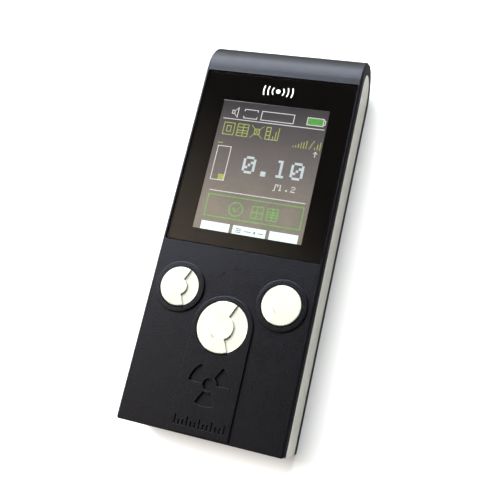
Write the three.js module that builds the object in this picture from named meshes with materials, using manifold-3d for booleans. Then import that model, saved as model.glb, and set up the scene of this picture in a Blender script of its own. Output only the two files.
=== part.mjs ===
// Pocket geiger counter: a flat hand-held case with a rounded nose, a smoked display window,
// three round keys, a raised keypad strip with an engraved trefoil, and everything inside.
// Millimetres. X to the right, Y towards the rounded nose, Z up through the front face.
// The origin is at the middle of the back face, which the instrument lies on.
import * as THREE from 'three';
import Module from 'manifold-3d';
import { mergeVertices } from 'three/addons/utils/BufferGeometryUtils.js';

const wasm = await Module();
wasm.setup();

// ---------------------------------------------------------------- driving dimensions

const WIDTH = 43;
const LENGTH = 105;
const THICK = 17.5;
const KEY_TOP = 18.5;

const HALF_W = WIDTH / 2;
const TAIL_Y = -LENGTH / 2;
const NOSE_R = THICK / 2;
const NOSE_Y = LENGTH / 2 - NOSE_R;
const SEAM_Z = THICK / 2;
const EDGE = 0.5;

const WALL = 1.6;
const BACK_WALL = 1.5;
const INNER_X = 19.3;
const FACE_IN = THICK - WALL;
const TAIL_IN = TAIL_Y + WALL;

const BAND_R = 5.8;
const BAND_GAP = 0.15;
const BAND_SEAT_X = 20.2;
const BAND_IN_X = 20.3;

const WINDOW = { halfX: 20.54, y0: -5.73, y1: 42.32, z0: THICK - 0.95, z1: THICK - 0.05, corner: 0.5 };
const WINDOW_SEAT = { halfX: 20.8, y0: -5.9, y1: 42.5, z: THICK - 1.1 };
const APERTURE = { halfX: 15.8, y0: -3.9, y1: 36.9 };
const LCD_TOP = THICK - 1.5;
const LCD = { halfX: 15.3, y0: -3.4, y1: 36.4, z0: THICK - 2.4 };
const LCD_FRAME = { halfX: 16.5, y0: -6.0, y1: 38.4, z0: THICK - 3.5, z1: THICK - 1.8, lip: 1.0 };

const ADHESIVE = { halfX: 20.3, innerX: 17.4, inset: 0.2, corner: 0.4 };
const FLEX = { halfX: 7.5, y0: -8.4, thick: 0.2, high: 1.1, low: 0.6 };
const CONNECTOR = { halfX: 8.6, y0: -11.4, y1: -8.5, height: 1.1, mouthX: 7.8, mouthDepth: 1.1 };

const BOARD_Z0 = THICK - 4.6;
const BOARD_Z1 = THICK - 3.6;
const BOARD = { halfX: 18.6, y0: -50.4, y1: 43.6 };

const SIDE_KEY = { x: 13.4, y: -17.7, r: 5.0, ring: 6.5, flange: 5.6 };
const MAIN_KEY = { x: 0, y: -25.7, r: 6.48, flange: 7.2 };
const LEFT_KEY = { ...SIDE_KEY, x: -SIDE_KEY.x };
const KEY_GAP = 0.25;
const KEY_STEP = 0.5;
const KEY_EDGE = 0.25;
const KEY_NUB_R = 1.3;
const KEY_SECTOR_HALF = 65;
const HUB_SHARE = { side: 0.42, main: 0.47 };
const KEY_FLANGE_Z0 = THICK - 2.4;
const KEY_FLANGE_Z1 = THICK - 1.8;
const KEY_NUB_Z = THICK - 2.7;
const DOME_TOP = THICK - 3.25;

const STRIP_HALF = 7.85;
const RAISE = 0.6;
const TREFOIL = { y: -39.84, hub: 1.5, inner: 2.0, outer: 5.3, half: 29, depth: 0.8 };
const RAISED_EDGE = 0.25;

const BOSS = { x: 17.2, tailY: -47.9, noseY: 41.0, r: 1.9, foot: 2.6, footTop: 3.6 };
const SCREW = { head: 1.5, headH: 1.2, shank: 0.7, tip: 12.6, sunk: 1.2, hiddenSunk: 2.0 };
const BORE_GAP = 0.15;
const MOUTH_GAP = 0.2;

const CELL_R = 5.1;
const CELL_LENGTH = 44.5;
const CELL_Z = 6.85;
const CELL_PITCH = 10.9;
const BAY = { x0: -3.1, x1: 18.9, y0: -44.6, y1: 4.6, top: 12.1, wall: 1.2 };
const CELL_X = [(BAY.x0 + BAY.x1 - CELL_PITCH) / 2, (BAY.x0 + BAY.x1 + CELL_PITCH) / 2];

const COVER = { x0: -2.85, x1: 18.65, tongue: 0.75, y1: 6.2, z1: 0.75, z2: 1.6, lip: 0.85 };
const SLOT = { x0: -3.0, x1: 18.8, tongue: 0.9, y1: 6.5, z1: 0.8, z2: 1.8 };

const GRIP = { count: 6, first: 7, pitch: 1.8, width: 0.8, halfX: 6.5, depth: 0.35 };
const ARROW = { tip: 20, base: 24.5, halfX: 2.6 };

const TUBE = { x: -10.2, z: 6.9, r: 4.9, y0: -33, y1: 44, capR: 4.2, capLength: 3.2, nippleR: 1.4 };
const CLIP = { noseY: 30, tailY: -28, width: 5, gap: 0.1, thick: 0.4, from: -50, to: 230, footX: 2.2 };

const TRANSFORMER = { x: 9.5, y: 14.2, height: 6.8, rim: 1.2, slope: 0.3, coreR: 4.6, waistR: 3.1 };
const CAPACITOR = { x: 0.6, r: 2.8, length: 9.5, crimp: 1.5, crimpDepth: 0.25, places: [8.4, 20.6] };
const CHIP = { x: 8.1, y: 23.7, half: 3.5, legs: 5, pitch: 1.2, reach: 0.7, legHalf: 0.15 };
const CRYSTAL = { x0: -3.4, x1: 3.6, y0: 33.4, y1: 36.6, height: 3, corner: 1.55 };
const BUZZER = { x: 11, y: 34.5, r: 5.2, z0: 7.8 };
const USB = { x: -10.2, half: 3.85, y0: -52.0, y1: -43.0, z0: BOARD_Z0 - 3.6, z1: BOARD_Z0, skin: 0.35 };

// Openings in the back: slots in front of the tube and holes for the sound.
const VENT = { count: 7, first: 13.6, pitch: 3.6, width: 1.2, halfX: 3.4 };
const SOUND_HOLE = { r: 0.6, ring: 2.6, count: 6 };

// Sides of a full turn: on what is seen, and on small or inner pieces.
const ARC = 32;
const SMALL_ARC = 16;
const SCREW_ARC = 12;

// ---------------------------------------------------------------- shape helpers

function toSolid(geometry) {
  const bare = geometry.index ? geometry.toNonIndexed() : geometry.clone();
  bare.deleteAttribute('normal');
  bare.deleteAttribute('uv');
  const merged = mergeVertices(bare, 1e-4);
  return new wasm.Manifold(new wasm.Mesh({
    numProp: 3,
    vertProperties: new Float32Array(merged.attributes.position.array),
    triVerts: new Uint32Array(merged.index.array),
  }));
}

function toGeometry(solid) {
  const mesh = solid.getMesh();
  const geometry = new THREE.BufferGeometry();
  geometry.setAttribute('position', new THREE.BufferAttribute(new Float32Array(mesh.vertProperties), 3));
  geometry.setIndex(new THREE.BufferAttribute(new Uint32Array(mesh.triVerts), 1));
  geometry.computeVertexNormals();
  return geometry;
}

function cut(base, ...tools) {
  return tools.reduce((solid, tool) => solid.subtract(tool), base);
}

function join(base, ...more) {
  return more.reduce((solid, piece) => solid.add(piece), base);
}

function boxGeometry(x0, x1, y0, y1, z0, z1) {
  const geometry = new THREE.BoxGeometry(x1 - x0, y1 - y0, z1 - z0);
  geometry.translate((x0 + x1) / 2, (y0 + y1) / 2, (z0 + z1) / 2);
  return geometry;
}

function box(x0, x1, y0, y1, z0, z1) {
  return toSolid(boxGeometry(x0, x1, y0, y1, z0, z1));
}

// An upright round post.
function postGeometry(x, y, r, z0, z1, sides = ARC) {
  const geometry = new THREE.CylinderGeometry(r, r, z1 - z0, sides);
  geometry.rotateX(Math.PI / 2);
  geometry.translate(x, y, (z0 + z1) / 2);
  return geometry;
}

function post(x, y, r, z0, z1, sides = ARC) {
  return toSolid(postGeometry(x, y, r, z0, z1, sides));
}

// A flat outline raised from z0 to z1, with both rims bevelled by `bevel`.
function plateGeometry(shape, z0, z1, bevel = 0, curveSegments = ARC / 2) {
  const geometry = new THREE.ExtrudeGeometry(shape, {
    depth: z1 - z0 - 2 * bevel,
    bevelEnabled: bevel > 0,
    bevelThickness: bevel,
    bevelSize: bevel,
    bevelOffset: -bevel,
    bevelSegments: 1,
    curveSegments,
  });
  geometry.translate(0, 0, z0 + bevel);
  return geometry;
}

function plate(shape, z0, z1, bevel = 0, curveSegments = ARC / 2) {
  return toSolid(plateGeometry(shape, z0, z1, bevel, curveSegments));
}

// An outline drawn in the side view (Y, Z) and run across the case from x0 to x1.
function acrossGeometry(shape, x0, x1, bevel = 0, curveSegments = ARC / 2) {
  const geometry = plateGeometry(shape, x0, x1, bevel, curveSegments);
  geometry.applyMatrix4(new THREE.Matrix4().makeBasis(
    new THREE.Vector3(0, 1, 0),
    new THREE.Vector3(0, 0, 1),
    new THREE.Vector3(1, 0, 0),
  ));
  return geometry;
}

function across(shape, x0, x1, bevel = 0, curveSegments = ARC / 2) {
  return toSolid(acrossGeometry(shape, x0, x1, bevel, curveSegments));
}

function rectangle(x0, x1, y0, y1, r = 0) {
  const shape = new THREE.Shape();
  if (r === 0) {
    shape.moveTo(x0, y0).lineTo(x1, y0).lineTo(x1, y1).lineTo(x0, y1);
    return shape;
  }
  shape.moveTo(x0 + r, y0).lineTo(x1 - r, y0);
  shape.absarc(x1 - r, y0 + r, r, -Math.PI / 2, 0);
  shape.lineTo(x1, y1 - r).absarc(x1 - r, y1 - r, r, 0, Math.PI / 2);
  shape.lineTo(x0 + r, y1).absarc(x0 + r, y1 - r, r, Math.PI / 2, Math.PI);
  shape.lineTo(x0, y0 + r).absarc(x0 + r, y0 + r, r, Math.PI, 1.5 * Math.PI);
  return shape;
}

// A solid of revolution about the vertical through (x, y). The profile lists [radius, z] upwards.
function turnedGeometry(profile, x, y, sides = ARC) {
  const geometry = new THREE.LatheGeometry(profile.map(([r, z]) => new THREE.Vector2(r, z)), sides);
  geometry.rotateX(Math.PI / 2);
  geometry.translate(x, y, 0);
  return geometry;
}

// The same about an axis along Y through (x, z). The profile lists [radius, y].
function turnedAlongY(profile, x, z, sides = ARC) {
  const geometry = new THREE.LatheGeometry(profile.map(([r, y]) => new THREE.Vector2(r, y)), sides);
  geometry.translate(x, 0, z);
  return geometry;
}

// ---------------------------------------------------------------- materials

function finish(color, roughness, metalness = 0) {
  return () => new THREE.MeshStandardMaterial({ color, roughness, metalness });
}

const charcoal = finish(0x232428, 0.62);
const warmGrey = finish(0xa9aca4, 0.5);
const smoked = finish(0x0d0b0a, 0.08);
const keyWhite = finish(0xeeeee6, 0.42);
const boardGreen = finish(0x1d5a38, 0.5);
const blackResin = finish(0x141414, 0.55);
const steel = finish(0xb9bcc0, 0.32, 0.9);
const nickel = finish(0xcfcabb, 0.3, 0.9);
const ferrite = finish(0x3a3a3c, 0.7);
const sleeveBlue = finish(0x1f3350, 0.4);
const cellWrap = finish(0xb98a2e, 0.35);
const panelGrey = finish(0x6e6866, 0.25);
const diffuser = finish(0xe9e9e4, 0.6);
const polyimide = finish(0xa8661c, 0.4);
const foamBlack = finish(0x0c0c0d, 0.9);

// ---------------------------------------------------------------- case

// The whole case as a block, drawn in the side view: square tail, full-round nose.
function caseBlock() {
  const shape = new THREE.Shape();
  shape.moveTo(TAIL_Y, 0).lineTo(NOSE_Y, 0);
  shape.absarc(NOSE_Y, NOSE_R, NOSE_R, -Math.PI / 2, Math.PI / 2);
  shape.lineTo(TAIL_Y, THICK);
  return across(shape, -HALF_W, HALF_W, EDGE);
}

function caseHollow() {
  const shape = new THREE.Shape();
  const r = NOSE_R - WALL;
  shape.moveTo(TAIL_IN, BACK_WALL).lineTo(NOSE_Y, BACK_WALL);
  shape.lineTo(NOSE_Y, NOSE_R - r).absarc(NOSE_Y, NOSE_R, r, -Math.PI / 2, Math.PI / 2);
  shape.lineTo(TAIL_IN, FACE_IN);
  return across(shape, -INNER_X, INNER_X);
}

// Outline of a side band or of its seat: straight from the tail, rounded under the nose.
function bandOutline(r, tail) {
  const shape = new THREE.Shape();
  shape.moveTo(tail, SEAM_Z - r).lineTo(NOSE_Y, SEAM_Z - r);
  shape.absarc(NOSE_Y, SEAM_Z, r, -Math.PI / 2, Math.PI / 2);
  shape.lineTo(tail, SEAM_Z + r);
  return shape;
}

function bandSeats() {
  const outline = bandOutline(BAND_R, TAIL_Y - 1);
  return join(across(outline, BAND_SEAT_X, HALF_W + 1), across(outline, -HALF_W - 1, -BAND_SEAT_X));
}

function bossPlaces() {
  return [
    [-BOSS.x, BOSS.tailY],
    [BOSS.x, BOSS.tailY],
    [-BOSS.x, BOSS.noseY],
    [BOSS.x, BOSS.noseY],
  ];
}

function keypadStripOutline() {
  const shape = new THREE.Shape();
  shape.moveTo(-STRIP_HALF, TAIL_Y + EDGE).lineTo(STRIP_HALF, TAIL_Y + EDGE);
  shape.lineTo(STRIP_HALF, MAIN_KEY.y).absarc(MAIN_KEY.x, MAIN_KEY.y, STRIP_HALF, 0, Math.PI);
  return shape;
}

function trefoilBlade(middle) {
  const from = THREE.MathUtils.degToRad(middle - TREFOIL.half);
  const to = THREE.MathUtils.degToRad(middle + TREFOIL.half);
  const shape = new THREE.Shape();
  shape.absarc(0, TREFOIL.y, TREFOIL.outer, from, to);
  shape.absarc(0, TREFOIL.y, TREFOIL.inner, to, from, true);
  return shape;
}

function trefoilCutters() {
  const top = THICK + RAISE;
  const floor = top - TREFOIL.depth;
  const blades = [-90, 30, 150].map((middle) => plate(trefoilBlade(middle), floor, top + 1, 0, 6));
  return [...blades, post(0, TREFOIL.y, TREFOIL.hub, floor, top + 1, SMALL_ARC)];
}

function frontShell() {
  const half = box(-HALF_W - 1, HALF_W + 1, TAIL_Y - 1, LENGTH, SEAM_Z, THICK + 1);
  const shell = caseBlock().intersect(half).subtract(caseHollow()).subtract(bandSeats());
  const under = FACE_IN + 0.2;
  const strip = plate(keypadStripOutline(), under, THICK + RAISE, RAISED_EDGE);
  const rings = [-1, 1].map((side) => toSolid(turnedGeometry([
    [0, under],
    [SIDE_KEY.ring, under],
    [SIDE_KEY.ring, THICK + RAISE - RAISED_EDGE],
    [SIDE_KEY.ring - RAISED_EDGE, THICK + RAISE],
    [0, THICK + RAISE],
  ], side * SIDE_KEY.x, SIDE_KEY.y)));
  const bosses = bossPlaces().map(([x, y]) => post(x, y, BOSS.r, SEAM_Z, under, SMALL_ARC));
  const keyHoles = [LEFT_KEY, SIDE_KEY, MAIN_KEY].map((key) => (
    post(key.x, key.y, key.r + KEY_GAP, SEAM_Z + 1, KEY_TOP + 1)
  ));
  const pilots = bossPlaces().map(([x, y]) => (
    post(x, y, SCREW.shank + BORE_GAP, SEAM_Z - 1, SCREW.tip + 0.4, SCREW_ARC)
  ));
  const { halfX, y0, y1, z } = WINDOW_SEAT;
  const seat = box(-halfX, halfX, y0, y1, z, KEY_TOP);
  const aperture = box(-APERTURE.halfX, APERTURE.halfX, APERTURE.y0, APERTURE.y1, SEAM_Z + 1, KEY_TOP);
  const mouthX = USB.half + MOUTH_GAP;
  const usbMouth = box(
    USB.x - mouthX,
    USB.x + mouthX,
    TAIL_Y - 1,
    TAIL_IN + 0.5,
    SEAM_Z - 1,
    USB.z1 + MOUTH_GAP,
  );
  return cut(
    join(shell, strip, ...rings, ...bosses),
    ...keyHoles,
    ...pilots,
    ...trefoilCutters(),
    seat,
    aperture,
    usbMouth,
  );
}

function ventCutters() {
  return Array.from({ length: VENT.count }, (_, i) => {
    const y = VENT.first + i * VENT.pitch;
    const w = VENT.width / 2;
    const slot = rectangle(TUBE.x - VENT.halfX, TUBE.x + VENT.halfX, y - w, y + w, w * 0.98);
    return plate(slot, -1, 2, 0, 2);
  });
}

function soundHoles() {
  const places = [[0, 0]];
  for (let i = 0; i < SOUND_HOLE.count; i += 1) {
    const angle = (i * 2 * Math.PI) / SOUND_HOLE.count;
    places.push([SOUND_HOLE.ring * Math.cos(angle), SOUND_HOLE.ring * Math.sin(angle)]);
  }
  return places.map(([x, y]) => post(BUZZER.x + x, BUZZER.y + y, SOUND_HOLE.r, -1, 2, 8));
}

function hiddenScrew(x, y) {
  return x > 0 && y < 0;
}

// Battery bay walls, the floor beside the bay, the cover's end stop and the screw posts.
function rearInnerWalls() {
  const left = BAY.x0 - 1.0;
  const right = INNER_X + 0.3;
  const tailWall = BAY.y0 - BAY.wall;
  const noseWall = BAY.y1 + BAY.wall;
  const ribTop = 3.0;
  const stopTop = 2.6;
  const stopEnd = noseWall + 1.7;
  const walls = [
    box(left - 0.8, BAY.x0, TAIL_IN - 0.3, stopEnd, 0, ribTop),
    box(left, BAY.x0, tailWall, noseWall, 1.0, BAY.top),
    box(left, right, tailWall, BAY.y0, SLOT.z2, SEAM_Z),
    box(left, right, BAY.y1, noseWall, SLOT.z2, SEAM_Z),
    box(left, INNER_X - BORE_GAP, tailWall, BAY.y0, SEAM_Z - 1, BAY.top),
    box(left, INNER_X - BORE_GAP, BAY.y1, noseWall, SEAM_Z - 1, BAY.top),
    box(left, right, TAIL_IN - 0.3, tailWall + 0.1, SLOT.z2, ribTop),
    box(left, right, noseWall - 0.1, stopEnd, 0, stopTop),
  ];
  const posts = bossPlaces().flatMap(([x, y]) => {
    const from = hiddenScrew(x, y) ? SLOT.z2 : 0;
    return [
      post(x, y, BOSS.r, from, SEAM_Z, SMALL_ARC),
      post(x, y, BOSS.foot, from, hiddenScrew(x, y) ? BOSS.footTop + 0.6 : BOSS.footTop, SMALL_ARC),
    ];
  });
  return [...walls, ...posts];
}

function coverSlot() {
  return join(
    box(SLOT.x0, SLOT.x1, TAIL_Y - 1, SLOT.y1, -1, SLOT.z1 + 0.1),
    box(SLOT.x0 - SLOT.tongue, SLOT.x1 + SLOT.tongue, TAIL_Y - 1, SLOT.y1, SLOT.z1, SLOT.z2),
    box(BAY.x0, BAY.x1, BAY.y0, BAY.y1, SLOT.z1, SLOT.z2 + 0.5),
  );
}

function screwBores() {
  return bossPlaces().flatMap(([x, y]) => {
    const headTop = (hiddenScrew(x, y) ? SCREW.hiddenSunk : SCREW.sunk) + SCREW.headH;
    return [
      post(x, y, SCREW.head + BORE_GAP, -1, headTop + 0.1, SMALL_ARC),
      post(x, y, SCREW.shank + BORE_GAP, -1, SEAM_Z + 1, SCREW_ARC),
    ];
  });
}

function rearShell() {
  const half = box(-HALF_W - 1, HALF_W + 1, TAIL_Y - 1, LENGTH, -1, SEAM_Z);
  const shell = caseBlock().intersect(half).subtract(caseHollow());
  return cut(
    join(shell, ...rearInnerWalls()),
    bandSeats(),
    coverSlot(),
    ...screwBores(),
    ...ventCutters(),
    ...soundHoles(),
  );
}

function sideBand(side) {
  const outline = bandOutline(BAND_R - BAND_GAP, TAIL_Y);
  const bevel = 0.25;
  const band = across(outline, BAND_IN_X, HALF_W + bevel, bevel);
  const flush = box(0, HALF_W, TAIL_Y - 1, LENGTH, -1, THICK);
  const geometry = toGeometry(band.intersect(flush));
  if (side < 0) geometry.rotateZ(Math.PI).rotateX(Math.PI).translate(0, 0, THICK);
  return geometry;
}

// A T-section plate that slides in from the tail, with grip grooves and an arrow in its outer face.
function batteryCover() {
  const plateBody = join(
    box(COVER.x0, COVER.x1, TAIL_Y, COVER.y1, 0, COVER.lip + 0.1),
    box(COVER.x0 - COVER.tongue, COVER.x1 + COVER.tongue, TAIL_Y + 0.6, COVER.y1, COVER.lip, COVER.z2),
  );
  const middle = (COVER.x0 + COVER.x1) / 2;
  const grooves = Array.from({ length: GRIP.count }, (_, i) => {
    const y = TAIL_Y + GRIP.first + i * GRIP.pitch;
    return box(middle - GRIP.halfX, middle + GRIP.halfX, y, y + GRIP.width, -1, GRIP.depth);
  });
  const arrow = new THREE.Shape();
  arrow.moveTo(middle, TAIL_Y + ARROW.tip);
  arrow.lineTo(middle + ARROW.halfX, TAIL_Y + ARROW.base);
  arrow.lineTo(middle - ARROW.halfX, TAIL_Y + ARROW.base);
  return cut(plateBody, ...grooves, plate(arrow, -1, GRIP.depth));
}

// ---------------------------------------------------------------- display

function displayWindow() {
  const outline = rectangle(-WINDOW.halfX, WINDOW.halfX, WINDOW.y0, WINDOW.y1, WINDOW.corner);
  return plateGeometry(outline, WINDOW.z0, WINDOW.z1, 0.12, 4);
}

function windowAdhesive() {
  const { halfX, innerX, inset, corner } = ADHESIVE;
  const outline = rectangle(-halfX, halfX, WINDOW.y0 + inset, WINDOW.y1 - inset, corner);
  outline.holes.push(rectangle(-innerX, innerX, APERTURE.y0 - 0.6, APERTURE.y1 + 0.9, corner));
  return plateGeometry(outline, WINDOW_SEAT.z, WINDOW.z0 - 0.03, 0, 2);
}

function lcdPanel() {
  const glassOutline = rectangle(-LCD.halfX, LCD.halfX, LCD.y0, LCD.y1, 0.3);
  const filmX = LCD.halfX - 0.3;
  return join(
    plate(glassOutline, LCD.z0, LCD_TOP - 0.15, 0, 2),
    box(-filmX, filmX, LCD.y0 + 1.2, LCD.y1 - 0.3, LCD_TOP - 0.2, LCD_TOP),
  );
}

function lcdFrame() {
  const f = LCD_FRAME;
  const tray = plate(rectangle(-f.halfX, f.halfX, f.y0, f.y1, 0.6), f.z0, f.z1, 0, 3);
  return cut(
    tray,
    box(-LCD.halfX - 0.1, LCD.halfX + 0.1, LCD.y0 - 0.1, LCD.y1 + 0.1, LCD.z0 - 0.1, f.z1 + 1),
    box(-LCD.halfX + f.lip, LCD.halfX - f.lip, LCD.y0 + f.lip, LCD.y1 - f.lip, f.z0 + 0.3, f.z1),
  );
}

function lcdBacklight() {
  const inset = LCD_FRAME.lip + 0.1;
  return plateGeometry(rectangle(
    -LCD.halfX + inset,
    LCD.halfX - inset,
    LCD.y0 + inset,
    LCD.y1 - inset,
    0.3,
  ), LCD_FRAME.z0 + 0.35, LCD.z0 - 0.15, 0, 2);
}

function lcdFlex() {
  const shape = new THREE.Shape();
  const t = FLEX.thick;
  const y0 = FLEX.y0;
  const y1 = LCD_FRAME.y0 - 0.05;
  const high = BOARD_Z1 + FLEX.high;
  const low = BOARD_Z1 + FLEX.low;
  shape.moveTo(y1, high).lineTo(y1, high + t).lineTo(y1 - 0.4, high + t);
  shape.lineTo(y1 - 1.7, low + t).lineTo(y0, low + t).lineTo(y0, low).lineTo(y1 - 1.75, low);
  shape.lineTo(y1 - 0.45, high);
  return acrossGeometry(shape, -FLEX.halfX, FLEX.halfX);
}

function flexConnector() {
  const { halfX, y0, y1, height, mouthX, mouthDepth } = CONNECTOR;
  const body = box(-halfX, halfX, y0, y1, BOARD_Z1, BOARD_Z1 + height);
  const mouth = box(-mouthX, mouthX, y1 - mouthDepth, y1 + 1, BOARD_Z1 + 0.5, BOARD_Z1 + 0.9);
  return cut(body, mouth);
}

// ---------------------------------------------------------------- keys

// The part of the top that is stepped down: a sector outside the hub, opening to one side.
function keySector(key, side) {
  const middle = side > 0 ? 0 : Math.PI;
  const half = THREE.MathUtils.degToRad(KEY_SECTOR_HALF);
  const hub = key.r * (key === MAIN_KEY ? HUB_SHARE.main : HUB_SHARE.side);
  const reach = key.r + 1;
  const shape = new THREE.Shape();
  shape.absarc(key.x, key.y, reach, middle - half, middle + half);
  shape.absarc(key.x, key.y, hub, middle + half, middle - half, true);
  return plate(shape, KEY_TOP - KEY_STEP, KEY_TOP + 1, 0, 16);
}

function keyCap(key, sides) {
  const cap = toSolid(turnedGeometry([
    [0, KEY_NUB_Z],
    [KEY_NUB_R, KEY_NUB_Z],
    [KEY_NUB_R, KEY_FLANGE_Z0],
    [key.flange, KEY_FLANGE_Z0],
    [key.flange, KEY_FLANGE_Z1],
    [key.r, KEY_FLANGE_Z1],
    [key.r, KEY_TOP - KEY_EDGE],
    [key.r - KEY_EDGE, KEY_TOP],
    [0, KEY_TOP],
  ], key.x, key.y));
  return cut(cap, ...sides.map((side) => keySector(key, side)));
}

function contactDome(key) {
  return turnedGeometry([
    [0, BOARD_Z1],
    [2.8, BOARD_Z1],
    [2.8, BOARD_Z1 + 0.1],
    [2.0, BOARD_Z1 + 0.24],
    [1.0, DOME_TOP - 0.03],
    [0, DOME_TOP],
  ], key.x, key.y, SMALL_ARC);
}

// ---------------------------------------------------------------- electronics

function mainBoard() {
  const outline = rectangle(-BOARD.halfX, BOARD.halfX, BOARD.y0, BOARD.y1, 1.0);
  const board = plate(outline, BOARD_Z0, BOARD_Z1, 0, 4);
  const holes = bossPlaces().map(([x, y]) => (
    post(x, y, BOSS.r + 0.4, BOARD_Z0 - 1, BOARD_Z1 + 1, SMALL_ARC)
  ));
  return cut(board, ...holes);
}

function geigerTube() {
  return turnedAlongY([
    [0, TUBE.y0],
    [TUBE.r - 0.5, TUBE.y0],
    [TUBE.r, TUBE.y0 + 1],
    [TUBE.r, TUBE.y1 - 1],
    [TUBE.r - 0.5, TUBE.y1],
    [0, TUBE.y1],
  ], TUBE.x, TUBE.z, 24);
}

// End cap with its terminal nipple. `side` is +1 at the nose and -1 at the tail.
function tubeCap(side) {
  const from = side > 0 ? TUBE.y1 : TUBE.y0;
  const profile = [
    [0, 0.05],
    [TUBE.capR, 0.05],
    [TUBE.capR, TUBE.capLength - 0.6],
    [TUBE.capR - 0.6, TUBE.capLength],
    [TUBE.nippleR, TUBE.capLength],
    [TUBE.nippleR, TUBE.capLength + 1.2],
    [0, TUBE.capLength + 1.2],
  ];
  const placed = profile.map(([r, y]) => [r, from + side * y]);
  return turnedAlongY(side > 0 ? placed : placed.reverse(), TUBE.x, TUBE.z, SMALL_ARC);
}

// Spring clip that hangs from the board and holds the tube.
function tubeClip(y) {
  const inner = TUBE.r + CLIP.gap;
  const outer = inner + CLIP.thick;
  const from = THREE.MathUtils.degToRad(CLIP.from);
  const to = THREE.MathUtils.degToRad(CLIP.to);
  const shape = new THREE.Shape();
  shape.absarc(0, 0, outer, from, to);
  shape.absarc(0, 0, inner, to, from, true);
  const ring = new THREE.ExtrudeGeometry(shape, {
    depth: CLIP.width,
    bevelEnabled: false,
    curveSegments: 14,
  });
  ring.rotateX(Math.PI / 2);
  ring.translate(TUBE.x, y + CLIP.width, TUBE.z);
  const footZ = TUBE.z + outer - 0.25;
  const foot = box(TUBE.x - CLIP.footX, TUBE.x + CLIP.footX, y, y + CLIP.width, footZ, BOARD_Z0);
  return join(toSolid(ring), foot);
}

function hvTransformer() {
  const { x, y, height, rim, slope, coreR, waistR } = TRANSFORMER;
  const low = BOARD_Z0 - height;
  return turnedGeometry([
    [0, low],
    [coreR, low],
    [coreR, low + rim],
    [waistR, low + rim + slope],
    [waistR, BOARD_Z0 - rim - slope],
    [coreR, BOARD_Z0 - rim],
    [coreR, BOARD_Z0],
    [0, BOARD_Z0],
  ], x, y, SMALL_ARC);
}

function hvCapacitor(y0) {
  const { x, r, length, crimp, crimpDepth } = CAPACITOR;
  return turnedAlongY([
    [0, y0],
    [r, y0],
    [r, y0 + crimp - 0.3],
    [r - crimpDepth, y0 + crimp],
    [r, y0 + crimp + 0.3],
    [r, y0 + length],
    [0, y0 + length],
  ], x, BOARD_Z0 - r - 0.1, SMALL_ARC);
}

function microcontroller() {
  const { x, y, half, legs, pitch, reach, legHalf } = CHIP;
  const body = box(x - half, x + half, y - half, y + half, BOARD_Z0 - 1.4, BOARD_Z0 - 0.1);
  const pins = [];
  for (let i = 0; i < legs; i += 1) {
    const at = (i - (legs - 1) / 2) * pitch;
    [-1, 1].forEach((side) => {
      const from = Math.min(side * (half - 0.3), side * (half + reach));
      const to = Math.max(side * (half - 0.3), side * (half + reach));
      pins.push(box(x + from, x + to, y + at - legHalf, y + at + legHalf, BOARD_Z0 - 0.4, BOARD_Z0));
      pins.push(box(x + at - legHalf, x + at + legHalf, y + from, y + to, BOARD_Z0 - 0.4, BOARD_Z0));
    });
  }
  return join(body, ...pins);
}

function crystal() {
  const { x0, x1, y0, y1, height, corner } = CRYSTAL;
  return plateGeometry(rectangle(x0, x1, y0, y1, corner), BOARD_Z0 - height, BOARD_Z0, 0.2, 3);
}

function buzzer() {
  return turnedGeometry([
    [0, BUZZER.z0 + 0.5],
    [1.2, BUZZER.z0 + 0.5],
    [1.2, BUZZER.z0],
    [BUZZER.r - 0.4, BUZZER.z0],
    [BUZZER.r, BUZZER.z0 + 0.4],
    [BUZZER.r, BOARD_Z0],
    [0, BOARD_Z0],
  ], BUZZER.x, BUZZER.y, SMALL_ARC);
}

function usbConnector() {
  const u = USB;
  const shell = box(u.x - u.half, u.x + u.half, u.y0, u.y1, u.z0, u.z1);
  const mouthX = u.half - u.skin;
  const mouth = box(u.x - mouthX, u.x + mouthX, u.y0 - 1, u.y1 - 1.2, u.z0 + u.skin, u.z1 - u.skin);
  const tongue = box(u.x - 2.2, u.x + 2.2, u.y0 + 1.2, u.y1 - 1, u.z1 - 1.9, u.z1 - 1.2);
  return join(cut(shell, mouth), tongue);
}

// ---------------------------------------------------------------- power

// A cell that points along +Y or -Y, with its raised terminal at the pointed end.
function cell(x, side) {
  const half = CELL_LENGTH / 2;
  const middle = (BAY.y0 + BAY.y1) / 2 + side * 1.4;
  const profile = [
    [0, -half],
    [3.2, -half],
    [3.2, -half + 0.3],
    [CELL_R - 0.3, -half + 0.3],
    [CELL_R, -half + 0.7],
    [CELL_R, half - 1.3],
    [CELL_R - 0.5, half - 0.8],
    [1.9, half - 0.8],
    [1.7, half],
    [0, half],
  ];
  const placed = profile.map(([r, y]) => [r, middle + side * y]);
  return turnedAlongY(side > 0 ? placed : placed.reverse(), x, CELL_Z, 24);
}

class ConeHelix extends THREE.Curve {
  constructor(r0, r1, length, turns) {
    super();
    Object.assign(this, { r0, r1, length, turns });
  }

  getPoint(t, target = new THREE.Vector3()) {
    const r = THREE.MathUtils.lerp(this.r0, this.r1, t);
    const angle = t * this.turns * 2 * Math.PI;
    return target.set(r * Math.cos(angle), t * this.length, r * Math.sin(angle));
  }
}

// Conical wire spring standing on a contact plate. `side` is the way it presses.
function cellSpring(x, side) {
  const wire = new THREE.Shape();
  wire.absarc(0, 0, 0.3, 0, 2 * Math.PI);
  const path = new ConeHelix(3.6, 2.3, 1.9, 2.5);
  const geometry = new THREE.ExtrudeGeometry(wire, { steps: 28, curveSegments: 3, extrudePath: path });
  if (side < 0) geometry.rotateZ(Math.PI);
  const start = side > 0 ? BAY.y0 + 0.85 : BAY.y1 - 0.85;
  geometry.translate(x, start, CELL_Z);
  return geometry;
}

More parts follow.
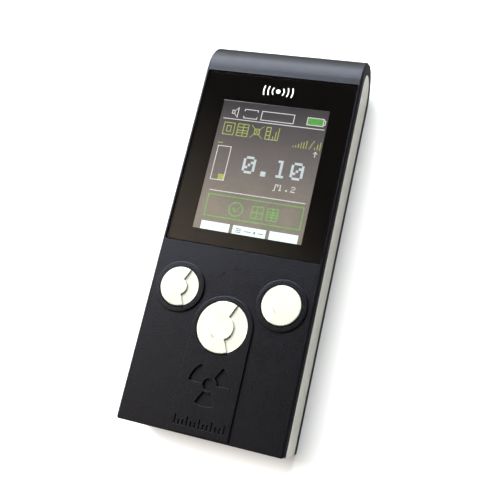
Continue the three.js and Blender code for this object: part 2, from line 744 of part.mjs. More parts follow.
function contactPlate(x, side) {
  const y0 = side > 0 ? BAY.y0 + 0.02 : BAY.y1 - 0.42;
  return boxGeometry(x - 4.4, x + 4.4, y0, y0 + 0.4, CELL_Z - 4.6, CELL_Z + 4.9);
}

function cellInsulator() {
  const gap = 0.2;
  return boxGeometry(BAY.x0 + gap, BAY.x1 - gap, BAY.y0 + gap, BAY.y1 - gap, BAY.top, BAY.top + 0.2);
}

function caseScrew(x, y) {
  const head = hiddenScrew(x, y) ? SCREW.hiddenSunk : SCREW.sunk;
  const body = toSolid(turnedGeometry([
    [0, head],
    [SCREW.head - 0.25, head],
    [SCREW.head, head + 0.35],
    [SCREW.head, head + SCREW.headH],
    [SCREW.shank, head + SCREW.headH],
    [SCREW.shank, SCREW.tip - 0.6],
    [0, SCREW.tip],
  ], x, y, SCREW_ARC));
  const slot = 0.28;
  return cut(
    body,
    box(x - 1, x + 1, y - slot, y + slot, head - 1, head + 0.6),
    box(x - slot, x + slot, y - 1, y + 1, head - 1, head + 0.6),
  );
}

// ---------------------------------------------------------------- assembly

const counter = new THREE.Group();

function add(name, shape, material) {
  const geometry = shape.isBufferGeometry ? shape : toGeometry(shape);
  const mesh = new THREE.Mesh(geometry, material());
  mesh.name = name;
  counter.add(mesh);
}

add('front_shell', frontShell(), charcoal);
add('rear_shell', rearShell(), charcoal);
add('side_band_left', sideBand(-1), warmGrey);
add('side_band_right', sideBand(1), warmGrey);
add('battery_cover', batteryCover(), charcoal);
add('display_window', displayWindow(), smoked);
add('window_adhesive', windowAdhesive(), foamBlack);
add('lcd_panel', lcdPanel(), panelGrey);
add('lcd_frame', lcdFrame(), steel);
add('lcd_backlight', lcdBacklight(), diffuser);
add('lcd_flex', lcdFlex(), polyimide);
add('flex_connector', flexConnector(), diffuser);
add('button_left', keyCap(LEFT_KEY, [1]), keyWhite);
add('button_right', keyCap(SIDE_KEY, [-1]), keyWhite);
add('button_centre', keyCap(MAIN_KEY, [1, -1]), keyWhite);
add('dome_left', contactDome(LEFT_KEY), steel);
add('dome_right', contactDome(SIDE_KEY), steel);
add('dome_centre', contactDome(MAIN_KEY), steel);
add('main_board', mainBoard(), boardGreen);
add('geiger_tube', geigerTube(), steel);
add('tube_cap_nose', tubeCap(1), nickel);
add('tube_cap_tail', tubeCap(-1), nickel);
add('tube_clip_nose', tubeClip(CLIP.noseY), nickel);
add('tube_clip_tail', tubeClip(CLIP.tailY), nickel);
add('hv_transformer', hvTransformer(), ferrite);
CAPACITOR.places.forEach((y0, i) => add(`hv_capacitor_${i + 1}`, hvCapacitor(y0), sleeveBlue));
add('microcontroller', microcontroller(), blackResin);
add('crystal', crystal(), steel);
add('buzzer', buzzer(), blackResin);
add('usb_connector', usbConnector(), steel);
add('battery_1', cell(CELL_X[0], 1), cellWrap);
add('battery_2', cell(CELL_X[1], -1), cellWrap);
add('battery_spring_1', cellSpring(CELL_X[0], 1), nickel);
add('battery_spring_2', cellSpring(CELL_X[1], -1), nickel);
add('contact_plate_1', contactPlate(CELL_X[0], 1), nickel);
add('contact_plate_2', contactPlate(CELL_X[1], -1), nickel);
add('contact_plate_3', contactPlate(CELL_X[0], -1), nickel);
add('contact_plate_4', contactPlate(CELL_X[1], 1), nickel);
add('battery_insulator', cellInsulator(), polyimide);
bossPlaces().forEach(([x, y], i) => add(`case_screw_${i + 1}`, caseScrew(x, y), steel));

export default counter;
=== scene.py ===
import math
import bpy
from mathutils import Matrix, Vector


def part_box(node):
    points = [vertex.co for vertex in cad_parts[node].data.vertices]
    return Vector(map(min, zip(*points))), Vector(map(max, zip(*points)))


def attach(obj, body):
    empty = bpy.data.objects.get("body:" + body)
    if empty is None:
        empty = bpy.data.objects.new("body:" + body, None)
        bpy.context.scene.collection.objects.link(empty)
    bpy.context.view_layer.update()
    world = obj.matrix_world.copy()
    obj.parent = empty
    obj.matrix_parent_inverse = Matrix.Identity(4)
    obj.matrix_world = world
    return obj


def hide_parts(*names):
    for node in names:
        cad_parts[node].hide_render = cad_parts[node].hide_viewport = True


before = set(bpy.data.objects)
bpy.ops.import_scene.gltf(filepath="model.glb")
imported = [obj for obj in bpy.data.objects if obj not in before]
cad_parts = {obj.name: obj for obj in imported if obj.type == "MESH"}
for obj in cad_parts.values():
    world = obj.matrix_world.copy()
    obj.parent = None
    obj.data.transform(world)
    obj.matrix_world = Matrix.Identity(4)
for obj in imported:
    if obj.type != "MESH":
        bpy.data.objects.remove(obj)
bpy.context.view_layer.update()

# A pocket geiger counter lying on a pale floor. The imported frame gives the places, and this script
# builds the finer surfaces round it. X is to the right, Y towards the rounded nose, Z up through the
# front face. Lengths are in millimetres until a mesh is made.
from types import SimpleNamespace as Sizes

import bmesh
import bpy
from mathutils import Quaternion, Vector

MM = 0.001


# ---- sizes, from the frame and given here

def corners(node):
    """Lowest and highest corner of a CAD node, in millimetres."""
    low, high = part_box(node)
    return low / MM, high / MM


def centre(node):
    """The middle of a CAD node, in millimetres."""
    low, high = corners(node)
    return (low + high) / 2


FRONT_LOW, FRONT_HIGH = corners("front_shell")
REAR_LOW, REAR_HIGH = corners("rear_shell")
HALF_W = REAR_HIGH.x
TAIL = REAR_LOW.y
SEAM = FRONT_LOW.z
FACE = 2 * SEAM
NOSE_Y = REAR_HIGH.y - SEAM
RAISED = FRONT_HIGH.z

EDGE = 0.5
WALL = 1.6
BACK_WALL = 1.5
INNER_X = 19.3
FACE_IN = FACE - WALL
TAIL_IN = TAIL + WALL
OVER = 1.0
SEAM_GROOVE = 0.12

BAND_SEAT_X = 20.2
BAND_LOW, BAND_HIGH = corners("side_band_right")
BAND_R = (BAND_HIGH.z - BAND_LOW.z) / 2
BAND_SEAT_R = BAND_R + 0.15

PANE_LOW, PANE_HIGH = corners("display_window")
PANE_GAP = 0.26
PANE_SEAT_Z = FACE - 1.1
APERTURE = Sizes(x=15.8, y0=-3.9, y1=36.9)

KEY_R = {"left": 5.0, "right": 5.0, "centre": 6.48}
KEY_HUB_SHARE = {"left": 0.42, "right": 0.42, "centre": 0.47}
KEY_TOP = corners("button_centre")[1].z
KEY_GAP = 0.25
KEY_STEP = 0.5
KEY_SECTOR_HALF = 65
KEY_NUB_R = 1.3
KEY_FLANGE_Z = (FACE - 2.4, FACE - 1.8)
SIDE_RING_R = 6.5
STRIP_HALF = 7.85
TREFOIL = Sizes(y=-39.84, hub=1.5, inner=2.0, outer=5.3, half=29, depth=0.8)
SCALE = Sizes(count=13, pitch=1.05, y=-50.5, long=2.3, short=1.4, half=0.25, depth=0.45)
VENT = Sizes(count=7, pitch=3.6, half=3.4, wide=1.2, steps=8, y=13.0)
SOUND_HOLE = Sizes(ring=2.6, r=0.6)

BOSS = Sizes(r=1.9, foot=2.6, foot_top=3.6)
SCREW_BORE = 1.65
SHANK_BORE = 0.85
BAY = Sizes(x0=-3.1, x1=18.9, y0=-44.6, y1=4.6, top=12.1, wall=1.2, stop=1.7)
COVER_LOW, COVER_HIGH = corners("battery_cover")
SLOT = Sizes(x0=-3.0, x1=18.8, tongue=0.9, y1=6.5, z1=0.8, z2=1.8)
COVER_LIP = 0.85
COVER_TONGUE = 0.75
GRIP = Sizes(count=6, pitch=1.8, half=6.5, wide=0.8, steps=6, from_tail=7)
ARROW = Sizes(tip=20, base=24.5, half=2.6)
SPRING = Sizes(wire=0.3, wide=3.6, narrow=2.3, rise=1.9, turns=2.5, off_wall=0.85)
TUBE_X = centre("geiger_tube").x
USB_LOW, USB_HIGH = corners("usb_connector")

ROUND = 96
GENTLE_BEND = 20
CREASE = 32
BLACK = (0, 0, 0, 1)


# ---- outlines

def arc(x, y, radius, start, end, steps):
    """Points along an arc, both ends included. Angles are in degrees."""
    turns = [math.radians(start + (end - start) * i / steps) for i in range(steps + 1)]
    return [(x + radius * math.cos(a), y + radius * math.sin(a)) for a in turns]


def circle(x, y, radius, sides=ROUND):
    """The corners of a regular outline, anticlockwise from +X."""
    return arc(x, y, radius, 0, 360, sides)[:-1]


def soften(points, radius, steps=4, closed=True):
    """The line with each real corner replaced by a short curve. Gentle bends stay as they are."""
    result = []
    for i, point in enumerate(points):
        at = Vector(point)
        if not closed and i in (0, len(points) - 1):
            result.append(tuple(at))
            continue
        back = Vector(points[i - 1]) - at
        on = Vector(points[(i + 1) % len(points)]) - at
        turn = math.pi - back.angle(on)
        if turn < math.radians(GENTLE_BEND):
            result.append(tuple(at))
            continue
        room_back = back.length * (1 if not closed and i == 1 else 0.45)
        room_on = on.length * (1 if not closed and i == len(points) - 2 else 0.45)
        reach = min(radius * math.tan(turn / 2), room_back, room_on)
        start = at + back.normalized() * reach
        end = at + on.normalized() * reach
        for k in range(steps + 1):
            s = k / steps
            result.append(tuple(start * (1 - s) ** 2 + at * (2 * s * (1 - s)) + end * s * s))
    return [p for i, p in enumerate(result) if (Vector(p) - Vector(result[i - 1])).length > 1e-4]


def eased(line, radius, steps=4):
    """An open line with its corners rounded."""
    return soften(line, radius, steps, closed=False)


def rectangle(x0, x1, y0, y1, radius=0.0, steps=5):
    """A rectangle, its corners rounded where a radius is given."""
    points = [(x0, y0), (x1, y0), (x1, y1), (x0, y1)]
    return soften(points, radius, steps) if radius else points


def plan(low, high, inset=0.0, radius=0.0, steps=5):
    """The rectangle that a box covers seen from above, smaller by inset all round."""
    return rectangle(low.x + inset, high.x - inset, low.y + inset, high.y - inset, radius, steps)


def grow(outline, distance):
    """The closed outline moved outwards by distance. It runs anticlockwise."""
    moved = []
    for i, point in enumerate(outline):
        at = Vector(point)
        before = (at - Vector(outline[i - 1])).normalized()
        after = (Vector(outline[(i + 1) % len(outline)]) - at).normalized()
        out = Vector((before.y + after.y, -before.x - after.x))
        moved.append(tuple(at + out * (distance / (1 + before.dot(after)))))
    return moved


# ---- solids

def upright(u, v, height):
    return (u, v, height)


def across(u, v, height):
    """For an outline drawn in the side view (Y, Z) and run along X."""
    return (height, u, v)


def backwards(u, v, height):
    """For an outline drawn in the end view (X, Z) and run towards the tail."""
    return (u, -height, v)


def added(name, data):
    """A new object in the scene."""
    thing = bpy.data.objects.new(name, data)
    bpy.context.scene.collection.objects.link(thing)
    return thing


def make(name, mesh):
    """Turns a bmesh in millimetres into an object in metres."""
    bmesh.ops.recalc_face_normals(mesh, faces=mesh.faces)
    bmesh.ops.scale(mesh, vec=(MM, MM, MM), verts=mesh.verts)
    data = bpy.data.meshes.new(name)
    mesh.to_mesh(data)
    mesh.free()
    return added(name, data)


def bridge(mesh, rings):
    """Walls from ring to ring and a face over each end. A ring of one vertex is a pole."""
    sides = max(len(ring) for ring in rings)
    for low, high in zip(rings, rings[1:]):
        for i in range(sides):
            j = (i + 1) % sides
            loop = [low[i % len(low)], low[j % len(low)], high[j % len(high)], high[i % len(high)]]
            mesh.faces.new(list(dict.fromkeys(loop)))
    for end in (rings[0][::-1], rings[-1]):
        if len(end) > 1:
            mesh.faces.new(end)


def stack(name, outline, levels, place=upright):
    """A closed solid. Each level is (height, growth): the outline is grown by that much there."""
    mesh = bmesh.new()
    rings = [[mesh.verts.new(place(u, v, h)) for u, v in grow(outline, g)] for h, g in levels]
    bridge(mesh, rings)
    return make(name, mesh)


def block(name, outline, z0, z1, soft=0.0, place=upright):
    """An outline raised from z0 to z1, with both rims rounded where soft is given."""
    if not soft:
        return stack(name, outline, [(z0, 0), (z1, 0)], place)
    rim = [(z0, -soft), (z0, 0), (z1, 0), (z1, -soft)]
    return stack(name, outline, eased(rim, soft), place)


def box(name, x0, x1, y0, y1, z0, z1, soft=0.0):
    return block(name, rectangle(x0, x1, y0, y1, 1.5 * soft), z0, z1, soft)


def turned(name, profile, x, y, z=0.0, *, along="z", sides):
    """A solid of revolution. The profile lists (radius, height) from one end to the other."""
    def place(u, v, height):
        return (x + u, y + v, z + height) if along == "z" else (x + u, y + height, z + v)

    mesh = bmesh.new()
    rings = []
    for radius, height in profile:
        ring = circle(0, 0, radius, sides) if radius else [(0, 0)]
        rings.append([mesh.verts.new(place(u, v, height)) for u, v in ring])
    bridge(mesh, rings)
    return make(name, mesh)


def wire(name, path, radius, sides=16):
    """A round wire along a path that winds about Y, closed at both ends."""
    mesh = bmesh.new()
    rings = []
    for i, point in enumerate(path):
        ahead = Vector(path[min(i + 1, len(path) - 1)]) - Vector(path[max(i - 1, 0)])
        side = ahead.cross(Vector((0, 1, 0))).normalized()
        up = side.cross(ahead).normalized()
        ring = [Vector(point) + side * u + up * v for u, v in circle(0, 0, radius, sides)]
        rings.append([mesh.verts.new(p) for p in ring])
    bridge(mesh, rings)
    return make(name, mesh)


def combine(base, tools, operation):
    """Joins or cuts base with the tools, which are used up."""
    for tool in tools:
        step = base.modifiers.new("combine", "BOOLEAN")
        step.operation = operation
        step.solver = "MANIFOLD"
        step.object = tool
    bpy.context.view_layer.update()
    result = base.evaluated_get(bpy.context.evaluated_depsgraph_get())
    data = bpy.data.meshes.new_from_object(result)
    base.modifiers.clear()
    base.data = data
    for tool in tools:
        bpy.data.objects.remove(tool)
    return base


def join(base, tools):
    return combine(base, tools, "UNION")


def cut(base, tools):
    return combine(base, tools, "DIFFERENCE")


def hole(outline, z0, surface, flare):
    """A cutter up from z0 that opens a little where it leaves the surface."""
    return stack("cutter", outline, [(z0, 0), (surface - flare, 0), (surface + OVER, flare + OVER)])


def dressed(piece, material, slot, *stands_for, body="case"):
    """Smooths a piece, gives it its material and ties it to the frame."""
    piece.data.shade_smooth()
    piece.data.set_sharp_from_angle(angle=math.radians(CREASE))
    flats = piece.modifiers.new("flat_faces", "WEIGHTED_NORMAL")
    flats.keep_sharp = True
    piece.data.materials.clear()
    piece.data.materials.append(material)
    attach(piece, body)
    if stands_for:
        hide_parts(*stands_for)
    return piece


# ---- materials

class Nodes:
    """The node tree of a material or of the world."""

    def __init__(self, tree):
        self.tree = tree

    def feed(self, node, key, value):
        if isinstance(value, bpy.types.NodeSocket):
            self.tree.links.new(value, node.inputs[key])
        else:
            node.inputs[key].default_value = value

    def node(self, kind, inputs, **settings):
        node = self.tree.nodes.new("ShaderNode" + kind)
        for key, value in settings.items():
            setattr(node, key, value)
        for key, value in inputs.items():
            self.feed(node, key, value)
        return node

    def math(self, operation, a, b=0.0):
        return self.node("Math", {0: a, 1: b}, operation=operation).outputs[0]

    def span(self, value, low, high, to_low=0.0, to_high=1.0, **settings):
        """The value carried from low..high to to_low..to_high, and held at the ends."""
        keys = ("Value", "From Min", "From Max", "To Min", "To Max")
        inputs = dict(zip(keys, (value, low, high, to_low, to_high)))
        return self.node("MapRange", inputs, **settings).outputs[0]


class Finish(Nodes):
    """A patterned material. Patterns sit in the object's own space and sizes are in millimetres."""

    def __init__(self, name, **plain):
        self.material = bpy.data.materials.new(name)
        self.material.use_nodes = True
        super().__init__(self.material.node_tree)
        self.shader = self.tree.nodes["Principled BSDF"]
        self.place = self.node("TexCoord", {}).outputs["Object"]
        self.set(**plain)

    def set(self, **values):
        """Sets the shader's inputs: names have _ for a space, and a value may be a socket."""
        for key, value in values.items():
            self.feed(self.shader, key.replace("_", " "), value)

    def complete(self, colour, pattern, rough_low, rough_high, height, depth, **others):
        """Gives the colour, a roughness that follows a pattern and a relief. Returns the material."""
        self.set(Base_Color=colour, Roughness=self.span(pattern, 0.3, 0.7, rough_low, rough_high))
        self.set(Normal=self.bump(height, depth), **others)
        return self.material

    def sized(self, size, stretch=(1, 1, 1)):
        scale = [s / (size * MM) for s in stretch]
        return self.node("Mapping", {"Vector": self.place, "Scale": scale}).outputs[0]

    def noise(self, size, detail, stretch=(1, 1, 1)):
        where = self.sized(size, stretch)
        return self.node("TexNoise", {"Vector": where, "Scale": 1.0, "Detail": detail}).outputs["Fac"]

    def cells(self, size, **settings):
        """Distance to the nearest of many scattered points."""
        inputs = {"Vector": self.sized(size), "Scale": 1.0}
        return self.node("TexVoronoi", inputs, feature="F1", **settings).outputs["Distance"]

    def axis(self, name):
        """One object coordinate, in millimetres."""
        part = self.node("SeparateXYZ", {"Vector": self.place}).outputs[name]
        return self.math("MULTIPLY", part, 1 / MM)

    def tint(self, share, a, b):
        """Colour a where share is 0 and b where it is 1."""
        return self.node("Mix", {0: share, 6: a, 7: b}, data_type="RGBA").outputs[2]

    def clouded(self, size, detail, a, b):
        """A colour that drifts between two."""
        return self.tint(self.span(self.noise(size, detail), 0.35, 0.65), a, b)

    def bump(self, height, depth):
        inputs = {"Height": height, "Distance": depth * MM, "Strength": 1.0}
        return self.node("Bump", inputs).outputs[0]

    def edge_nearness(self, radius):
        """How close a point is to an edge, from 0 on flats to 1 on the edge itself."""
        rounded = self.node("Bevel", {"Radius": radius * MM}, samples=4).outputs[0]
        here = self.node("NewGeometry", {}).outputs["Normal"]
        same = self.node("VectorMath", {0: rounded, 1: here}, operation="DOT_PRODUCT").outputs["Value"]
        return self.span(same, 0.995, 0.9)


def grey(level, warm=0.0):
    """A colour of that linear brightness, a little warmer or cooler."""
    return (level * (1 + warm), level, level * (1 - warm), 1)


def charcoal():
    """Spark-textured dark ABS, slightly polished, with a painted pale highlight along its edges."""
    f = Finish("charcoal_plastic")
    grain = f.noise(0.32, 4)
    pits = f.cells(0.30)
    colour = f.clouded(9, 3, (0.0010, 0.0009, 0.0016, 1), (0.0016, 0.0015, 0.0026, 1))
    colour = f.tint(f.span(grain, 0.3, 0.8), colour, (0.0042, 0.0040, 0.0064, 1))
    # Painted highlight: every edge is tinted a pale bluish grey.
    colour = f.tint(f.math("MULTIPLY", f.edge_nearness(0.14), 0.8), colour, grey(0.05, -0.06))
    rough = f.span(f.noise(2.4, 4), 0.3, 0.7, 0.28, 0.35)
    rough = f.math("ADD", rough, f.span(grain, 0.2, 0.8, -0.04, 0.06))
    height = f.math("ADD", grain, f.math("MULTIPLY", pits, 0.6))
    f.set(Base_Color=colour, Roughness=rough, Normal=f.bump(height, 0.04))
    f.set(IOR=1.48, Specular_IOR_Level=0.37, Specular_Tint=(0.87, 0.89, 1, 1))
    return f.material


def pale_plastic(name, base, shade, rough_low, rough_high):
    """Fine matte moulding with faint clouding, dust in the texture and a few soft marks."""
    f = Finish(name, IOR=1.47)
    marks = f.noise(1.6, 4, (1, 5, 1))
    colour = f.tint(f.span(marks, 0.62, 0.72, 0, 0.25), f.clouded(6, 3, base, shade), shade)
    return f.complete(colour, f.noise(3, 4), rough_low, rough_high, f.noise(0.14, 2), 0.006)


def clear_acrylic():
    """The display window: faintly smoked, with hairline scratches and a breath of dust."""
    f = Finish("smoked_acrylic", IOR=1.49, Transmission_Weight=1.0)
    scratches = f.noise(0.5, 5, (1, 18, 1))
    dust = f.noise(1.2, 4)
    rough = f.span(dust, 0.45, 0.75, 0.02, 0.06)
    rough = f.math("ADD", rough, f.span(scratches, 0.66, 0.72, 0, 0.05))
    colour = f.tint(f.span(f.noise(8, 2), 0.3, 0.7), (0.80, 0.765, 0.74, 1), (0.76, 0.73, 0.705, 1))
    f.set(Base_Color=colour, Roughness=rough, Normal=f.bump(scratches, 0.0012))
    return f.material


def black_print():
    """Ink on the underside of the window, brown-black, thicker in places."""
    f = Finish("black_print", Specular_IOR_Level=0.3)
    cloud = f.noise(5, 3)
    colour = f.tint(f.span(cloud, 0.3, 0.7), (0.018, 0.0142, 0.0138, 1), (0.026, 0.0205, 0.0195, 1))
    return f.complete(colour, f.noise(0.4, 3), 0.35, 0.55, f.noise(0.2, 2), 0.002)


def white_ink():
    """Printed sign on the window."""
    f = Finish("white_ink")
    speck = f.noise(0.12, 3)
    colour = f.tint(f.span(speck, 0.3, 0.7), (0.86, 0.86, 0.84, 1), (0.93, 0.93, 0.92, 1))
    return f.complete(colour, speck, 0.4, 0.55, speck, 0.004)


def shining(f, colour, uneven):
    """Lights up a finish in that colour."""
    f.set(Emission_Color=colour, Emission_Strength=1.0)
    return f.complete(f.tint(0.94, colour, BLACK), uneven, 0.35, 0.5, uneven, 0.001)


def lit(name, low, high):
    """A lit part of the display, uneven from dot to dot."""
    f = Finish(name)
    uneven = f.noise(0.25, 2)
    return shining(f, f.tint(f.span(uneven, 0.35, 0.65), low, high), uneven)


def display_field():
    """The display's background, its glow with painted shading: washed out as seen from the side, darker
    at its top.
    """
    f = Finish("display_background")
    height = f.axis("Y")
    cloud = f.noise(7, 2)
    lines = f.math("SINE", f.math("MULTIPLY", height, 2 * math.pi / DOT_H))
    # Painted shading: the glow runs from dark at the top to pale and warm at the bottom.
    colour = f.tint(f.span(height, 34, 18), (0.092, 0.093, 0.105, 1), (0.288, 0.270, 0.268, 1))
    colour = f.tint(f.span(height, 18, 4), colour, (0.420, 0.398, 0.340, 1))
    colour = f.tint(f.span(cloud, 0.35, 0.65, 0, 0.2), colour, (0.210, 0.205, 0.215, 1))
    colour = f.tint(f.span(f.noise(0.3, 2), 0.3, 0.7, 0, 0.22), colour, (0.06, 0.06, 0.07, 1))
    colour = f.tint(f.span(lines, -1, 1, 0, 0.12), colour, (0.02, 0.02, 0.02, 1))
    f.set(Emission_Color=colour, Emission_Strength=1.0)
    return f.complete((0.015, 0.015, 0.017, 1), cloud, 0.3, 0.4, lines, 0.0005)


def display_edge_highlight():
    """A painted highlight: a glowing strip along the film's upper edge, brightest at the left."""
    f = Finish("display_edge_highlight")
    uneven = f.noise(1.6, 3)
    along = f.span(f.axis("X"), -13, 4)
    colour = f.tint(along, (0.62, 0.60, 0.60, 1), (0.16, 0.155, 0.17, 1))
    colour = f.tint(f.span(uneven, 0.35, 0.7, 0, 0.6), colour, (0.12, 0.12, 0.13, 1))
    return shining(f, colour, uneven)


def metal(name, base, shade, rough_low, rough_high, brush=(1, 1, 1)):
    """Bare or plated metal, clouded, with fine marks that brush can draw out."""
    f = Finish(name, Metallic=1.0)
    streak = f.noise(0.4, 4, brush)
    colour = f.tint(f.span(streak, 0.4, 0.75, 0, 0.35), f.clouded(4, 3, base, shade), shade)
    return f.complete(colour, streak, rough_low, rough_high, streak, 0.003)


def dull(name, base, shade, rough, grain_size, depth=0.01):
    """Rubber, foam, resin, ferrite and card: a mottled matte body with a grain."""
    f = Finish(name)
    grain = f.noise(grain_size, 4)
    colour = f.clouded(grain_size * 12, 2, base, shade)
    colour = f.tint(f.span(grain, 0.45, 0.8, 0, 0.5), colour, shade)
    return f.complete(colour, grain, rough - 0.08, rough + 0.08, grain, depth)


def circuit_board():
    """Green solder resist over copper tracks, with tinned pads."""
    f = Finish("circuit_board")
    tracks = f.cells(2.2, distance="CHEBYCHEV")
    lanes = f.math("PINGPONG", f.math("MULTIPLY", tracks, 7.0), 1.0)
    raised = f.span(lanes, 0.55, 0.65)
    pads = f.span(f.cells(1.9), 0.13, 0.11)
    colour = f.tint(raised, (0.008, 0.07, 0.030, 1), (0.016, 0.13, 0.055, 1))
    colour = f.tint(f.span(f.noise(0.3, 3), 0.4, 0.8, 0, 0.3), colour, (0.006, 0.05, 0.02, 1))
    colour = f.tint(pads, colour, (0.72, 0.70, 0.66, 1))
    height = f.math("ADD", raised, pads)
    return f.complete(colour, f.noise(0.6, 3), 0.28, 0.42, height, 0.03, Metallic=pads)


def cell_wrap(name, middle, side):
    """Printed battery sleeve: dark body, copper-coloured shoulder, thin rules between."""
    f = Finish(name)
    along = f.math("MULTIPLY", f.math("SUBTRACT", f.axis("Y"), middle), side)
    dark = f.clouded(2.5, 3, (0.012, 0.013, 0.016, 1), (0.022, 0.023, 0.028, 1))
    copper = f.clouded(2.5, 3, (0.46, 0.22, 0.09, 1), (0.58, 0.30, 0.13, 1))
    shoulder, rules_from, cap_from, edge = 13.5, 10.0, 21.2, 0.1
    colour = f.tint(f.span(along, shoulder, shoulder + edge), dark, copper)
    rule = f.span(f.math("PINGPONG", along, 0.9), 0.7, 0.8)
    rule = f.math("MULTIPLY", rule, f.span(along, rules_from, rules_from + edge))
    rule = f.math("MULTIPLY", rule, f.span(along, shoulder, shoulder - edge))
    colour = f.tint(rule, colour, (0.62, 0.60, 0.56, 1))
    plus_end = f.span(along, cap_from, cap_from + edge)
    minus_end = f.span(along, -cap_from, -cap_from - edge)
    colour = f.tint(f.math("MAXIMUM", plus_end, minus_end), colour, (0.62, 0.61, 0.58, 1))
    f.set(Metallic=f.span(along, shoulder, shoulder + edge, 0.0, 0.7))
    return f.complete(colour, f.noise(0.8, 4), 0.24, 0.4, f.noise(0.5, 3), 0.004)


def copper_coil():
    """Wire wound round the transformer core, seen as fine bands."""
    f = Finish("ferrite")
    turns = f.math("SINE", f.math("MULTIPLY", f.axis("Z"), 2 * math.pi / 0.25))
    colour = f.clouded(0.3, 4, grey(0.03), grey(0.055))
    return f.complete(colour, f.noise(0.4, 3), 0.55, 0.8, turns, 0.02)


def floor_finish():
    """A light table that glows more further out, its glow shaped into a painted shadow beside the case.
    It looks dark to glossy surfaces close by, so that the case's sides stay black, and it is clear from
    below, so that the back can be seen."""
    f = Finish("pale_floor")
    cloud = f.noise(160, 3)
    colour = f.tint(f.span(cloud, 0.3, 0.7), (0.66, 0.65, 0.635, 1), (0.69, 0.68, 0.665, 1))
    beyond = []
    for axis, half in (("X", HALF_W - 1), ("Y", -TAIL - 1)):
        out = f.math("SUBTRACT", f.math("ABSOLUTE", f.axis(axis)), half)
        beyond.append(f.math("POWER", f.math("MAXIMUM", out, 0), 2))
    away = f.math("SQRT", f.math("ADD", *beyond))
    mirrored = f.node("LightPath", {}).outputs["Is Glossy Ray"]
    near = f.math("MULTIPLY", f.span(away, 0.2, 0.8), f.span(away, 40, 120, 1, 0))
    dimmed = f.span(f.math("MULTIPLY", mirrored, near), 0, 1, 1, 0.15)
    # Painted shadow: the glow is weakest next to the case, rises over the first 13 mm, and is cut back
    # on the left.
    glow = f.math("MULTIPLY", f.span(away, 1, 13, 0.24, 0.58), f.span(f.axis("X"), -30, -20, 0.3, 1))
    glow = f.math("ADD", glow, f.span(away, 13, 500, 0, 0.85))
    # Painted light: more glow beyond the tail washes out the shadow there.
    glow = f.math("ADD", glow, f.span(f.axis("Y"), TAIL - 7, TAIL - 1, 0.42, 0))
    glow = f.math("ADD", glow, f.span(away, 0.2, 0.8, 0.25, 0))
    colour = f.tint(dimmed, BLACK, colour)
    f.set(Base_Color=colour, Roughness=f.span(cloud, 0.3, 0.7, 0.65, 0.8), Specular_IOR_Level=0.2)
    f.set(Emission_Color=(0.93, 0.925, 0.91, 1), Emission_Strength=f.math("MULTIPLY", glow, dimmed))
    under = f.node("NewGeometry", {}).outputs["Backfacing"]
    clear = f.node("BsdfTransparent", {}).outputs[0]
    both = f.node("MixShader", {0: under, 1: f.shader.outputs[0], 2: clear})
    f.feed(f.tree.nodes["Material Output"], 0, both.outputs[0])
    return f.material


# ---- case

def side_outline():
    """The case's side view: square tail, full-round nose."""
    return [(TAIL, 0), *arc(NOSE_Y, SEAM, SEAM, -90, 90, ROUND), (TAIL, FACE)]


def case_half(name, upper):
    """Half of the case block: bevelled sides, eased tail edges, and a fine groove along the seam."""
    rim = [(-HALF_W, -EDGE - 0.15), (-HALF_W, -EDGE), (EDGE - HALF_W, 0)]
    levels = eased([*rim, *[(-x, g) for x, g in rim[::-1]]], 0.2)
    shell = stack(name, side_outline(), levels, across)
    tool = block("eased", soften(side_outline(), 0.3, 5), -HALF_W - OVER, HALF_W + OVER, place=across)
    way = 1 if upper else -1
    rises = (0, SEAM_GROOVE, 2 * SEAM_GROOVE, SEAM + OVER)
    grown = (-SEAM_GROOVE, 0.001, OVER, OVER)
    half = stack("half", plan(REAR_LOW, REAR_HIGH), [(SEAM + way * z, g) for z, g in zip(rises, grown)])
    return combine(shell, [tool, half], "INTERSECT")


def hollow(low, high):
    """The space inside, which runs on into the round of the nose."""
    r = SEAM - WALL
    nose = [point for point in arc(NOSE_Y, SEAM, r, -90, 90, ROUND // 2) if low <= point[1] <= high]
    floor_z = max(low, BACK_WALL)
    outline = [(TAIL_IN, floor_z), (NOSE_Y, floor_z), *nose]
    outline.append((TAIL_IN, min(high, FACE_IN)))
    return block("cutter", outline, -INNER_X, INNER_X, place=across)


def band_outline(r, tail):
    """A side band: straight from the tail, rounded under the nose."""
    return [(tail, SEAM - r), *arc(NOSE_Y, SEAM, r, -90, 90, 2 * ROUND // 3), (tail, SEAM + r)]


def band_seats():
    """Cutters for the two band seats, flared where they leave the case's sides."""
    outline = band_outline(BAND_SEAT_R, TAIL - OVER)
    levels = [(BAND_SEAT_X, 0), (HALF_W - 0.08, 0), (HALF_W + OVER, OVER)]
    return [stack("cutter", outline, [(side * x, g) for x, g in levels], across) for side in (1, -1)]


def screw_places():
    """X, Y and the height of the head's outer face for the four case screws, from their CAD nodes."""
    names = [f"case_screw_{i + 1}" for i in range(4)]
    return [(*centre(name).xy, corners(name)[0].z) for name in names]


def key_place(key):
    """X and Y of a key's middle."""
    return tuple(centre(f"button_{key}").xy)


def strip_outline():
    """The raised keypad strip: from the tail to a half round about the centre key."""
    top = arc(0, key_place("centre")[1], STRIP_HALF, 0, 180, ROUND // 2)
    return [(-STRIP_HALF, TAIL + EDGE), (STRIP_HALF, TAIL + EDGE), *top]


def trefoil_cutters():
    """The hazard sign sunk into the keypad strip: a hub and three blades."""
    floor_z = RAISED - TREFOIL.depth
    cutters = [hole(circle(0, TREFOIL.y, TREFOIL.hub, 48), floor_z, RAISED, 0.06)]
    for middle in (-90, 30, 150):
        start, end = middle - TREFOIL.half, middle + TREFOIL.half
        blade = arc(0, TREFOIL.y, TREFOIL.outer, start, end, 24)
        blade += arc(0, TREFOIL.y, TREFOIL.inner, end, start, 10)
        cutters.append(hole(soften(blade, 0.15, 3), floor_z, RAISED, 0.06))
    return cutters


